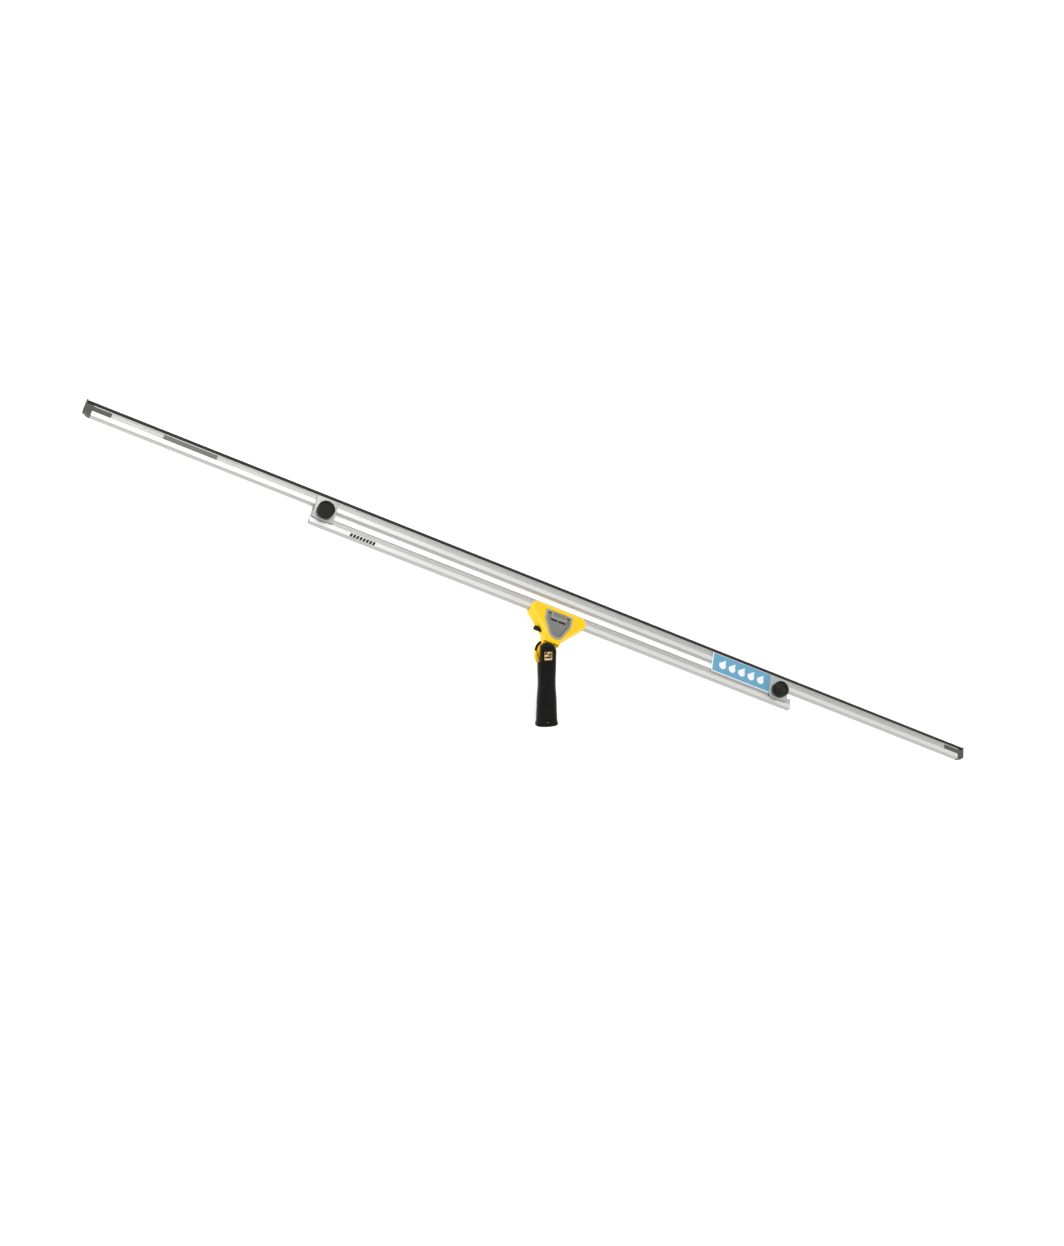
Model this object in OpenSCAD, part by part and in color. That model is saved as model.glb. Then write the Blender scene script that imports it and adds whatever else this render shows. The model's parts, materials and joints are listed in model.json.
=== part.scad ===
// Wide window squeegee with a leverage bar, at rest on its two end caps and the foot of its grip.
// +X runs along the bars, +Y towards the rubber, +Z up; the bars' front faces lean back a little.

/* [Bars] */
// Length over both end caps
overall_len = 1372; // [1200:1:1800]
// Length of the support bar
support_len = 748; // [720:1:800]
// Height of each bar's section
bar_h = 16; // [16:0.5:20]
// Thickness of each bar's section
bar_t = 8; // [8:0.5:10]
// Clear gap between the two bars
bar_gap = 12; // [11:0.5:16]
// Height of rubber that stands out of the main channel
rubber_out = 6.5; // [5:0.5:9]
// Thickness of the rubber
rubber_t = 3; // [2.4:0.1:3]

/* [Clamps] */
// Distance between the two thumb knobs
clamp_span = 709; // [680:1:715]
// Offset of the clamps' middle along the bars
clamp_shift = -3; // [-6:1:3]
// Diameter of a thumb knob
knob_d = 23.4; // [20:0.1:28]
// Height of a thumb knob
knob_h = 8.6; // [8:0.1:14]
// Width of a clamp plate
plate_w = 30; // [26:1:32]

/* [Head] */
// Offset of the head and the swivel along the bars
head_shift = -7.2; // [-20:0.5:20]
// Half the width of the head
head_half_w = 42.5; // [40:0.5:48]
// Drop from the rubber's tip to the swivel's middle
swivel_drop = 101.1; // [101:0.1:102]
// Backward bend of the neck and the grip
neck_bend = 40; // [39:0.5:41]

/* [Grip] */
// Length from the swivel's axis to the foot of the grip
grip_len = 104; // [100:1:130]
// Resting swing of the grip away from straight
swing = 24; // [0:8:40]
// Radius of the pole socket
socket_r = 9.5; // [8:0.1:10]
// Depth of the pole socket
socket_len = 70; // [50:1:80]

/* [Hidden] */
$fn = 48;
eps = 0.01;
fit = 0.05;
free = 0.2;

front = bar_t / 2;

// Bars, measured down from the rubber's tip
main_y = -rubber_out;
support_y = main_y - bar_h - bar_gap;
bolt_y = main_y - bar_h - bar_gap / 2;
wall = 1.2;
track_top = 1;
track_h = 7.4;
track_d = 0.9;
ridge_count = 5;
ridge_t = 0.3;
slot_w = rubber_t + 0.3;
bead_drop = 4.7;
bead_r = 2.2;
bead_free = 0.1;
chamber_y = -9.2;
chamber_h = bar_h + chamber_y - wall;
chamber_t = bar_t - 2 * wall;

// End caps
cap_wall = 2;
cap_top = 0.4;
cap_proud = 0.4;
cap_len = 11;
cap_corner_r = 9;
cap_tongue = 24;
cap_plug = 12;
metal_end = overall_len / 2 - cap_len;

// Clamps
plate_t = 2.2;
back_reach = 9;
rib_d = 0.55;
plate_top = main_y - track_top - free;
plate_bottom = support_y - track_top - track_h + free;
bolt_r = 3;
head_af = 10;
head_t = 4;
washer_t = 1.2;
plate_z = front + free;
washer_z = plate_z + plate_t + free / 4;
knob_z = washer_z + washer_t + free / 4;
insert_r = 4.5;
bolt_len = back_reach + knob_z + knob_h - 3;
clamp_x = [clamp_shift - clamp_span / 2, clamp_shift + clamp_span / 2];
flutes = 30;

// Head, measured from its own middle
head_back = -8;
head_front = 9;
head_top = support_y - 4;
pin_y = -74;
pin_z = -2;
pin_r = 2;
pin_cap_x = -17.5;
pin_cap_end = -29;
pin_start = -28;
slot_bottom = support_y - bar_h - free;
jaw_half_w = 15;
jaw_low = pin_y + 5.4;
tail_half_w = 9;
tail_low = pin_y - 9.4;
head_end = -93.5;
swivel_back = 5.1;
neck_shift = -4.3;
neck_half_w = 13;
neck_left = 11;
wall_z = 4.6;
pocket_z = 6.4;
shield_top = -44.5;
shield_free = 0.1;
bezel_w = 3.2;
latch_travel = 1.4;
disc_r = 12;
disc_back = -6;
disc_front = 3;
tooth_r = 0.8;
tooth_step = 8;

// Grip, measured from the swivel's axis, its own Y away from the foot
grip_mid_z = 3;
grip_half_t = 11;
foot_half_t = 12;
foot_half_w = 16;
hood_r = 13.4;
cheek_r = 14.5;
cheek_back = -8.6;
trigger_pin_at = [-11.3, -9.5];
trigger_spring_at = [-11.35, -13.6, -1.6];
trigger_spring_len = 4.8;
trigger_pin_r = 1.25;
trigger_back = -5.6;
trigger_t = 8;
trigger_reach = 16.2;
recess_x = -8.4;
front_cheek_x = -9.8;
cross_hole_r = 2.75;
cross_hole_up = 8.5;
sticker_z = grip_mid_z + grip_half_t - 1.2;

// At rest the bars lean back by rest_tilt, and the origin lies under the middle of the whole outline
rest_tilt = 22.4;
function rest_y(y, z) = y * cos(rest_tilt) + z * sin(rest_tilt);
function rest_z(y, z) = z * cos(rest_tilt) - y * sin(rest_tilt);
grip_lean = neck_bend - rest_tilt;
foot_y = -swivel_drop - grip_len * cos(swing) * cos(neck_bend) - grip_mid_z * sin(neck_bend);
foot_z = -swivel_back - grip_len * cos(swing) * sin(neck_bend) + grip_mid_z * cos(neck_bend);
foot_flat = foot_half_w - foot_half_t;
function foot_reach(side, normal) = foot_flat * side + foot_half_t * norm([side, normal]);
foot_reach_y = foot_reach(sin(swing) * cos(grip_lean), sin(grip_lean));
foot_reach_z = foot_reach(sin(swing) * sin(grip_lean), cos(grip_lean));
outline_low = rest_y(foot_y, foot_z) - foot_reach_y;
outline_high = rest_y(-cap_top, front + cap_proud);
tip_y = -(outline_low + outline_high) / 2;
tip_z = max(foot_reach_z - rest_z(foot_y, foot_z), -rest_z(-cap_top, -front - cap_proud));

module in_tool() {
    translate([0, tip_y, tip_z]) rotate([-rest_tilt, 0, 0]) children();
}

module in_head() {
    in_tool() translate([head_shift, 0, 0]) children();
}

// Frame of the swivel, its Z along the swivel's axis
module at_neck() {
    translate([neck_shift, -swivel_drop, -swivel_back]) rotate([neck_bend, 0, 0]) children();
}

module in_grip() {
    in_head() at_neck() rotate([0, 0, swing]) children();
}

// Extrudes a (Y, Z) outline along X
module along_x(x0, x1) {
    translate([x0, 0, 0]) rotate([90, 0, 90]) linear_extrude(x1 - x0) children();
}

module block(x, y, z) {
    translate([x[0], y[0], z[0]]) cube([x[1] - x[0], y[1] - y[0], z[1] - z[0]]);
}

module pin_along_x(r, x0, x1) {
    translate([x0, 0, 0]) rotate([0, 90, 0]) cylinder(r = r, h = x1 - x0);
}

// Rectangle with round corners, from its lower left corner
module round_rect(w, h, r) {
    translate([r, 0]) square([w - 2 * r, h]);
    translate([0, r]) square([w, h - 2 * r]);
    for (x = [r, w - r], y = [r, h - r]) translate([x, y]) circle(r, $fn = 24);
}

// ---- bars ----

module bar_outline() {
    translate([-bar_h, -bar_t / 2]) round_rect(bar_h, bar_t, 0.8);
}

module rubber_slot(grow = 0) {
    translate([-bead_drop, -slot_w / 2 - grow]) square([bead_drop + 1, slot_w + 2 * grow]);
    translate([-bead_drop, 0]) circle(bead_r + bead_free + grow);
}

module bar_chamber(shrink = 0) {
    translate([chamber_y - chamber_h + shrink, -chamber_t / 2 + shrink])
        round_rect(chamber_h - 2 * shrink, chamber_t - 2 * shrink, 0.6);
}

module track_ridges() {
    pitch = track_h / (ridge_count + 1);
    for (i = [1 : ridge_count])
        translate([-track_top - i * pitch, front - track_d + ridge_t / 2])
            square([ridge_t, ridge_t + eps], center = true);
}

// Aluminium section shared by both bars, its top edge at zero
module bar_section() {
    difference() {
        bar_outline();
        rubber_slot();
        bar_chamber();
        translate([-track_top - track_h, front - track_d]) square([track_h, track_d + 1]);
    }
    track_ridges();
}

module main_channel() {
    color("silver") in_tool() translate([0, main_y, 0]) along_x(-metal_end, metal_end) bar_section();
}

module support_bar() {
    color("silver") in_tool() translate([0, support_y, 0])
        along_x(-support_len / 2, support_len / 2) bar_section();
}

module rubber_section() {
    translate([main_y - bead_drop, -rubber_t / 2]) square([bead_drop - main_y, rubber_t]);
    translate([main_y - bead_drop, 0]) circle(bead_r);
}

module rubber_blade() {
    half = overall_len / 2 - cap_wall - 0.1;
    color("dimgray") in_tool() along_x(-half, half) rubber_section();
}

module cap_section() {
    difference() {
        bar_outline();
        rubber_slot(0.05);
    }
}

// Plastic end cap of the right end, with its tongue in the track and its plug in the chamber
module end_cap() {
    end = overall_len / 2;
    difference() {
        union() {
            translate([0, main_y, 0]) along_x(metal_end + 0.05, end - cap_wall + eps) cap_section();
            block([end - cap_wall, end], [main_y - bar_h, -cap_top],
                  [-front - cap_proud, front + cap_proud]);
        }
        difference() {
            block([end - cap_corner_r, end + 1], [main_y - bar_h - 1, main_y - bar_h + cap_corner_r],
                  [-bar_t, bar_t]);
            translate([end - cap_corner_r, main_y - bar_h + cap_corner_r, -bar_t])
                cylinder(r = cap_corner_r, h = 2 * bar_t);
        }
    }
    translate([0, main_y, 0]) along_x(metal_end - cap_plug, metal_end + 1) bar_chamber(0.15);
    block([metal_end - cap_tongue, metal_end + 1],
          [main_y - track_top - track_h + 0.15, main_y - track_top - 0.15],
          [front - track_d + ridge_t + 0.1, front + cap_proud]);
}

module end_cap_right() {
    color("dimgray") in_tool() end_cap();
}

module end_cap_left() {
    color("dimgray") in_tool() mirror([1, 0, 0]) end_cap();
}

module track_strip() {
    strip_x0 = -582.5;
    strip_x1 = -510.5;
    color("gray") in_tool()
        block([strip_x0, strip_x1], [main_y - track_top - track_h + 0.2, main_y - track_top - 0.2],
              [front - track_d + ridge_t + 0.05, front + 0.1]);
}

// ---- clamps ----

module at_clamp(side) {
    in_tool() translate([clamp_x[side], bolt_y, 0]) children();
}

// Front plate with two ribs that run in the bars' tracks
module clamp_plate(side) {
    top = plate_top - bolt_y;
    bottom = plate_bottom - bolt_y;
    rib_h = track_h - 2 * free;
    color("gainsboro") at_clamp(side) difference() {
        union() {
            translate([-plate_w / 2, bottom, plate_z])
                linear_extrude(plate_t) round_rect(plate_w, top - bottom, 3);
            for (y = [bottom, top - rib_h])
                block([-plate_w / 2 + 3, plate_w / 2 - 3], [y, y + rib_h], [plate_z - rib_d, plate_z + eps]);
        }
        translate([0, 0, -bar_t]) cylinder(r = bolt_r + free, h = 3 * bar_t);
    }
}

// Back plate with a boss between the bars and a hexagon recess for the bolt's head
module back_plate(side) {
    half_h = 15;
    boss_half_w = 11;
    color("silver") at_clamp(side) difference() {
        union() {
            translate([-plate_w / 2, -half_h, -back_reach])
                linear_extrude(back_reach - front - free) round_rect(plate_w, 2 * half_h, 3);
            block([-boss_half_w, boss_half_w], [-bar_gap / 2 + 2 * free, bar_gap / 2 - 2 * free],
                  [-front - free - eps, front - free]);
        }
        translate([0, 0, -bar_t]) cylinder(r = bolt_r + 0.1, h = 3 * bar_t);
        translate([0, 0, -back_reach - 1]) cylinder(d = (head_af + 0.3) / cos(30), h = head_t + 1.3, $fn = 6);
    }
}

module clamp_bolt(side) {
    color("lightsteelblue") at_clamp(side) {
        translate([0, 0, -back_reach + 0.1]) cylinder(d = head_af / cos(30), h = head_t, $fn = 6);
        translate([0, 0, -back_reach + head_t]) cylinder(r = bolt_r, h = bolt_len - head_t);
    }
}

module knob_washer(side) {
    color("whitesmoke") at_clamp(side) translate([0, 0, washer_z]) difference() {
        cylinder(r = 7.5, h = washer_t);
        translate([0, 0, -1]) cylinder(r = bolt_r + 0.15, h = washer_t + 2);
    }
}

// Thumb knob with a fluted rim, a turned face and a seat for its brass insert
module knob(side) {
    r = knob_d / 2;
    flute_r = 0.7;
    color("black") at_clamp(side) translate([0, 0, knob_z]) difference() {
        rotate_extrude($fn = 96) polygon([
            [insert_r, 0], [r - 1.2, 0], [r, 1], [r, knob_h - 1.4], [r - 1.5, knob_h],
            [r - 3.2, knob_h - 0.5], [3, knob_h - 1.1], [0, knob_h - 1.1], [0, knob_h - 2.4],
            [insert_r, knob_h - 2.4]
        ]);
        for (i = [0 : flutes - 1])
            rotate([0, 0, i * 360 / flutes]) translate([r + 0.3, 0, 1.2])
                cylinder(r = flute_r, h = knob_h, $fn = 16);
    }
}

module knob_insert(side) {
    color("gold") at_clamp(side) translate([0, 0, knob_z]) difference() {
        cylinder(r = insert_r - 0.02, h = knob_h - 2.5);
        translate([0, 0, -1]) cylinder(r = bolt_r + fit, h = knob_h);
    }
}

// ---- plate and mark on the support bar ----

// Sign plate, held by a rib in the support bar's track and standing clear of the main channel
module name_plate() {
    x1 = clamp_x[1] - plate_w / 2 - 0.4;
    x0 = x1 - 98;
    top = main_y - 1.5;
    bottom = support_y - 4;
    color("skyblue") in_tool() {
        block([x0, x1], [bottom, top], [plate_z + 0.05, plate_z + 1.65]);
        block([x0 + 1, x1 - 1], [bottom, bottom + 2.4], [front - track_d + ridge_t + 0.02, plate_z + 0.1]);
    }
}

// Row of slanted printed bars on the support bar's land
module bar_mark() {
    pitch = 4.6;
    stroke = 3.4;
    lean = 1.6;
    mark_h = 5.4;
    start = clamp_x[0] + plate_w / 2 + 25;
    color("black") in_tool() translate([0, support_y - bar_h + 1.2, front])
        linear_extrude(0.1)
            for (i = [0 : 7])
                translate([start + i * pitch, 0])
                    polygon([[0, 0], [stroke, 0], [stroke + lean, mark_h], [lean, mark_h]]);
}

// ---- head ----

// Fan-shaped outline from the wide jaw down to the neck
module head_outline(inset = 0) {
    hull() {
        for (s = [-1, 1]) {
            translate([s * (head_half_w - 7), head_top - 4]) circle(4 - inset, $fn = 32);
            translate([s * (head_half_w - 6.5), head_top - 9.5]) circle(6.5 - inset, $fn = 32);
        }
        translate([0, -82]) circle(10 - inset, $fn = 32);
    }
    translate([neck_shift - neck_left + inset, head_end])
        square([neck_left + neck_half_w - 2 * inset, 13]);
}

// Outline of the shield-shaped latch, its top edge at zero
module shield(inset = 0) {
    offset(delta = -inset) hull() {
        for (s = [-1, 1]) {
            translate([s * 18.5, -2]) circle(2, $fn = 32);
            translate([s * 11.5, -14.5]) circle(8.5, $fn = 32);
        }
        translate([0, -30]) circle(11.8, $fn = 32);
    }
}

module head_shell() {
    bevel = 1.4;
    translate([0, 0, head_back]) linear_extrude(head_front - head_back - bevel) head_outline();
    translate([0, 0, head_front - bevel - eps]) linear_extrude(bevel + eps) head_outline(1);
}

// Disc with index notches that turns between the cheeks of the grip
module swivel_disc() {
    at_neck() translate([0, 0, disc_back]) difference() {
        union() {
            cylinder(r = disc_r, h = disc_front - disc_back, $fn = 96);
            linear_extrude(disc_front - disc_back)
                polygon([
                    [-9, 7.8], [9, 7.8], [neck_half_w - 0.1, 11], [neck_half_w - 0.1, 16.9],
                    [0.1 - neck_left, 16.9], [0.1 - neck_left, 9.2]
                ]);
        }
        for (i = [-5 : 5])
            rotate([0, 0, 94 + swing - 24 + i * tooth_step]) translate([0, disc_r + 0.1, -1])
                cylinder(r = tooth_r, h = disc_front - disc_back + 2, $fn = 16);
        translate([0, 0, -1]) cylinder(r = bolt_r + fit, h = disc_front - disc_back + 2);
    }
}

module head_cavities() {
    // Slot for the support bar
    block([-60, 60], [slot_bottom, 0], [-front - free, front + 0.3]);
    // Bay for the back jaw, open at the back
    bay_low = jaw_low - 1.4;
    block([-jaw_half_w - 0.5, jaw_half_w + 0.5], [bay_low, 0], [head_back - 1, -front - free + eps]);
    block([-jaw_half_w - 0.5, jaw_half_w + 0.5], [bay_low, -56], [head_back - 1, wall_z]);
    block([-tail_half_w - 0.5, tail_half_w + 0.5], [tail_low - 1.4, bay_low + eps], [head_back - 1, wall_z]);
    // Way through for the latch's finger
    block([-3, 3], [pin_y - 6, pin_y + 3], [wall_z - eps, pocket_z + eps]);
    // Pocket for the latch
    translate([0, shield_top, pocket_z]) linear_extrude(5) shield(-shield_free);
    // Seats of the pin and of its cap
    translate([0, pin_y, pin_z]) {
        pin_along_x(pin_r + 0.02, -40, 17.5);
        pin_along_x(3.6, -40, pin_cap_x);
    }
    // Room for the grip's cheeks
    at_neck() {
        translate([0, 0, disc_front]) cylinder(r = hood_r + 0.6, h = 20);
        translate([0, 0, disc_back - eps]) cylinder(r = trigger_reach + 0.4, h = disc_front - disc_back + 2 * eps);
        translate([0, 0, disc_back - 20]) cylinder(r = cheek_r + 0.5, h = 20);
    }
}

module head_body() {
    color("gold") in_head() {
        difference() {
            head_shell();
            head_cavities();
        }
        swivel_disc();
    }
}

// Spring-loaded lever that grips the back of the support bar
module back_jaw() {
    plate_z1 = -front - 0.4;
    color("goldenrod") in_head() difference() {
        union() {
            block([-jaw_half_w, jaw_half_w], [jaw_low, head_top - 1], [head_back, plate_z1]);
            block([-tail_half_w, tail_half_w], [tail_low, jaw_low + eps], [head_back, plate_z1]);
            lip = [head_top - 2.5, head_top - 1];
            block([-jaw_half_w + 1, jaw_half_w - 1], lip, [plate_z1 - eps, plate_z1 + 0.15]);
            translate([0, pin_y, pin_z]) for (x = [[-8.5, -5.5], [5.5, 8.5]]) pin_along_x(3.4, x[0], x[1]);
            for (x = [-8.5, 5.5]) block([x, x + 3], [pin_y - 3.4, pin_y + 3.4], [plate_z1 - 1, pin_z]);
            hull() {
                translate([0, pin_y, pin_z]) pin_along_x(3.3, -2, 2);
                translate([0, pin_y, pin_z + 6.6]) pin_along_x(1, -2, 2);
            }
            block([-2, 2], [pin_y - 3.3, pin_y + 3.3], [plate_z1 - 1, pin_z]);
        }
        translate([0, pin_y, pin_z]) pin_along_x(pin_r + fit, -20, 20);
    }
}

module jaw_pin() {
    color("lightgray") in_head() translate([0, pin_y, pin_z]) pin_along_x(pin_r, pin_start, 17);
}

module jaw_pin_cap() {
    color("black") in_head() translate([0, pin_y, pin_z]) difference() {
        union() {
            pin_along_x(3.4, pin_cap_end, pin_cap_x - 0.1);
            translate([pin_cap_end, 0, 0]) rotate([0, -90, 0]) cylinder(r1 = 3.4, r2 = 2.4, h = 1, $fn = 48);
        }
        pin_along_x(pin_r + 0.02, pin_start - 0.2, 0);
    }
}

// Wire coil as a helical tube; its ends lie at zero and at len
module coil(r, wire_r, turns, len) {
    sides = 8;
    steps = 14;
    n = turns * steps;
    rise = (len - 2 * wire_r) / n;
    ring = [for (i = [0 : n]) for (k = [0 : sides - 1])
        let (a = 360 * i / steps, b = 360 * k / sides, d = r + wire_r * cos(b))
            [d * cos(a), d * sin(a), wire_r + i * rise + wire_r * sin(b)]];
    walls = [for (i = [0 : n - 1]) for (k = [0 : sides - 1])
        let (k1 = (k + 1) % sides)
            [i * sides + k, i * sides + k1, (i + 1) * sides + k1, (i + 1) * sides + k]];
    start_face = [for (k = [sides - 1 : -1 : 0]) k];
    end_face = [for (k = [0 : sides - 1]) n * sides + k];
    polyhedron(points = ring, faces = concat(walls, [start_face, end_face]), convexity = 8);
}

module jaw_spring() {
    color("lightgray") in_head() translate([0, pin_y - 6.2, -front - 0.35])
        coil(2.3, 0.35, 5, wall_z + front + 0.3);
}

// Fixed rim round the latch
module latch_bezel() {
    color("darkgray") in_head() translate([0, shield_top, pocket_z + 0.05]) difference() {
        linear_extrude(3.2) shield();
        translate([0, 0, -1]) linear_extrude(6) shield(bezel_w);
        block([-12.2, 12.2], [-4, 0.4], [1.9, 4]);
    }
}

// Thumb slide: a pad, a raised block over a finger slot, and a finger that pushes the jaw's crank
module latch_slide() {
    pad_inset = bezel_w + 0.35;
    color("gray") in_head() {
        translate([0, shield_top, pocket_z + 0.2]) difference() {
            intersection() {
                linear_extrude(2) shield(pad_inset);
                block([-20, 20], [-45, -pad_inset - latch_travel - 0.2], [0, 4]);
            }
            block([-11.5, 11.5], [-15, -12.2], [-1, 4]);
        }
        block([-11.5, 11.5], [shield_top - 12, shield_top - 1.8], [pocket_z + 2.15, pocket_z + 4.2]);
        block([-2, 2], [pin_y - 4.6, pin_y - 1.8], [4.1, pocket_z + 0.3]);
    }
}

module latch_spring() {
    color("gold") in_head() translate([0, shield_top - 12.1, pocket_z + 1.1]) rotate([90, 0, 0])
        coil(0.7, 0.18, 7, 2.8);
}

module swivel_pin() {
    color("lightgray") in_grip() translate([0, 0, cheek_back + 0.1])
        cylinder(r = bolt_r, h = 10.5 - cheek_back);
}

module swivel_washer() {
    color("whitesmoke") in_grip() translate([0, 0, disc_front + fit]) difference() {
        cylinder(r = 8, h = 0.4);
        translate([0, 0, -1]) cylinder(r = bolt_r + 0.1, h = 3);
    }
}

// ---- grip ----

// One oval slice of the grip, its flat faces square to the grip's axis
module grip_slice(y, half_w, half_t) {
    for (s = [-1, 1])
        translate([s * (half_w - half_t), y, grip_mid_z]) rotate([90, 0, 0])
            cylinder(r = half_t, h = 0.1, $fn = 32);
}

module grip_solid() {
    // Domed hood over the swivel
    hull() {
        translate([0, 0, cheek_back + 0.6]) cylinder(r = hood_r, h = 16, $fn = 48);
        translate([0, 0, grip_mid_z]) cylinder(r = 8, h = 10, $fn = 48);
        grip_slice(-16, 13, grip_half_t);
    }
    // Back cheek
    translate([0, 0, cheek_back]) cylinder(r = cheek_r, h = disc_back - cheek_back, $fn = 64);
    // Handle
    hull() {
        grip_slice(-15, 13, grip_half_t);
        grip_slice(-44, 12.3, grip_half_t);
    }
    hull() {
        grip_slice(-43, 12.3, grip_half_t);
        grip_slice(-74, 14, grip_half_t);
    }
    hull() {
        grip_slice(-73, 14, grip_half_t);
        grip_slice(10 - grip_len, 14.7, grip_half_t);
    }
    // Flared foot
    hull() {
        grip_slice(10.5 - grip_len, 14.7, grip_half_t);
        grip_slice(2.5 - grip_len, foot_half_w, foot_half_t);
        grip_slice(0.1 - grip_len, foot_half_w, foot_half_t);
    }
}

module grip_cavities() {
    // Slot for the swivel disc and the neck
    translate([0, 0, disc_back - 0.2]) cylinder(r = disc_r + 0.4, h = disc_front - disc_back + 0.7, $fn = 96);
    block([-30, 30], [0, 30], [disc_back - 0.2, disc_front + 0.5]);
    // Hole for the swivel pin
    translate([0, 0, cheek_back - 1]) cylinder(r = bolt_r + 0.02, h = 10.7 - cheek_back + 1);
    // Bay, pin and spring seat of the trigger
    trigger_front = trigger_back + trigger_t + 0.3;
    block([-20, recess_x], [-17, 2], [trigger_back - 0.3, trigger_front]);
    block([-20, front_cheek_x], [-14.5, 20], [trigger_front - eps, 20]);
    translate([trigger_pin_at[0], trigger_pin_at[1], cheek_back + 0.4])
        cylinder(r = trigger_pin_r + 0.02, h = 11);
    translate(trigger_spring_at) pin_along_x(2, 2, trigger_spring_len + 0.05);
    // Pole socket and its cross hole
    translate([0, -grip_len - 1, grip_mid_z]) rotate([-90, 0, 0])
        cylinder(r = socket_r, h = socket_len + 1, $fn = 64);
    translate([0, cross_hole_up - grip_len, -20]) cylinder(r = cross_hole_r, h = 50);
    // Flat for the sticker
    block([-5.8, 5.8], [-9.8, 2.8], [sticker_z, 30]);
}

module grip() {
    color([0.11, 0.11, 0.1]) in_grip() difference() {
        grip_solid();
        grip_cavities();
    }
}

module grip_sticker() {
    color("goldenrod") in_grip() block([-5.5, 5.5], [-9.5, 2.5], [sticker_z + 0.02, sticker_z + 0.4]);
}

// Rocking lever that frees the swivel when its lower end is pressed in
module trigger() {
    color("gold") in_grip() difference() {
        translate([0, 0, trigger_back]) linear_extrude(trigger_t) union() {
            polygon([
                [-13.2, 0.4], [-14.6, 0.2], [-15.8, -3], [-16, -6.5], [-15.3, -11],
                [-13.6, -15.4], [-11.4, -15.8], [-9.6, -13], [-9.4, -9.5], [-12.6, -4], [-13, -2]
            ]);
            translate([-12.95, -1.2]) circle(0.35, $fn = 16);
        }
        translate([trigger_pin_at[0], trigger_pin_at[1], -20]) cylinder(r = trigger_pin_r + fit, h = 40);
        translate(trigger_spring_at) pin_along_x(1.8, -0.05, 5);
    }
}

module trigger_pin() {
    color("lightgray") in_grip() translate([trigger_pin_at[0], trigger_pin_at[1], cheek_back + 0.5])
        cylinder(r = trigger_pin_r, h = 11.1);
}

module trigger_spring() {
    color("lightgray") in_grip() translate(trigger_spring_at) rotate([0, 90, 0])
        coil(1.4, 0.2, 5, trigger_spring_len);
}

main_channel();
rubber_blade();
end_cap_left();
end_cap_right();
track_strip();
support_bar();
clamp_plate(0);  // clamp_plate_left
clamp_plate(1);  // clamp_plate_right
back_plate(0);  // back_plate_left
back_plate(1);  // back_plate_right
clamp_bolt(0);  // clamp_bolt_left
clamp_bolt(1);  // clamp_bolt_right
knob_washer(0);  // knob_washer_left
knob_washer(1);  // knob_washer_right
knob(0);  // knob_left
knob(1);  // knob_right
knob_insert(0);  // knob_insert_left
knob_insert(1);  // knob_insert_right
name_plate();
bar_mark();
head_body();
back_jaw();
jaw_pin();
jaw_pin_cap();
jaw_spring();
latch_bezel();
latch_slide();
latch_spring();
swivel_pin();
swivel_washer();
grip();
grip_sticker();
trigger();
trigger_pin();
trigger_spring();
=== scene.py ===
"""Looks of a wide window squeegee with a leverage bar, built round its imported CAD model.

Lengths in the shape functions are millimetres in the CAD's own frames, and mesh_object() turns them into
metres. Lights, bump distances and everything that Blender itself measures are in metres.
"""

import json
import math

import bmesh
import bpy
from mathutils import Matrix, Vector
from mathutils.geometry import convex_hull_2d


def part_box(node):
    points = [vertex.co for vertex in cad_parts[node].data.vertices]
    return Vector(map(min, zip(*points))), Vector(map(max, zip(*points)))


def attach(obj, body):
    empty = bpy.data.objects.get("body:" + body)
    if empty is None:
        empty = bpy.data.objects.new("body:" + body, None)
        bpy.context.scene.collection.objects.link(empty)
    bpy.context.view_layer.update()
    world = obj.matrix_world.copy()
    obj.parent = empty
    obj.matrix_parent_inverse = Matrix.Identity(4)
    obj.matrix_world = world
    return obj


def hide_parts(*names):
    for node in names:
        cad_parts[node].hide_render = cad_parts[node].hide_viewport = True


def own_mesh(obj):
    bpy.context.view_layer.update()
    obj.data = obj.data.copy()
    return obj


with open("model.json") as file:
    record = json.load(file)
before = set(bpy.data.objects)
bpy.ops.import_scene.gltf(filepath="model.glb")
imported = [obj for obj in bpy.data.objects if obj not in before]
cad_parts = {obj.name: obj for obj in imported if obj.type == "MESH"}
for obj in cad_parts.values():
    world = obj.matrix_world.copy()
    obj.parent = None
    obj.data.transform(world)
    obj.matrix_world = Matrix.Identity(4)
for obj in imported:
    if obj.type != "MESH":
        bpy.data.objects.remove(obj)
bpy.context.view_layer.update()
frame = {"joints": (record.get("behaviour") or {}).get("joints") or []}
MM = 0.001

# Driving sizes of the tool, in millimetres: Y from the rubber's tip, Z from the bars' mid-plane
MAIN_TOP = -6.5
SUPPORT_TOP = -34.5
BAR_H = 16.0
FRONT = 4.0
BOLT_Y = -28.5
WASHER_Z = 6.45
KNOB_Z = 7.7
KNOB_H = 8.6
PLATE_BACK = -9.0
SWIVEL_DROP = 101.1
SWIVEL_BACK = 5.1
NECK_BEND = math.radians(40)
SWING = math.radians(24)

# ---------------------------------------------------------------- frames

JOINTS = {j["name"]: j for j in frame["joints"]}
NORMAL = Vector(JOINTS["knob_left_turn"]["axis"])
REST_TILT = math.atan2(NORMAL.y, NORMAL.z)
LEAN = Matrix.Rotation(-REST_TILT, 4, "X")
TIP = Vector(JOINTS["knob_left_turn"]["pos_m"]) / MM - LEAN @ Vector((0, BOLT_Y, KNOB_Z))
HEAD_X = JOINTS["jaw_hinge"]["pos_m"][0] / MM
NECK_X = JOINTS["grip_swivel"]["pos_m"][0] / MM

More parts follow.
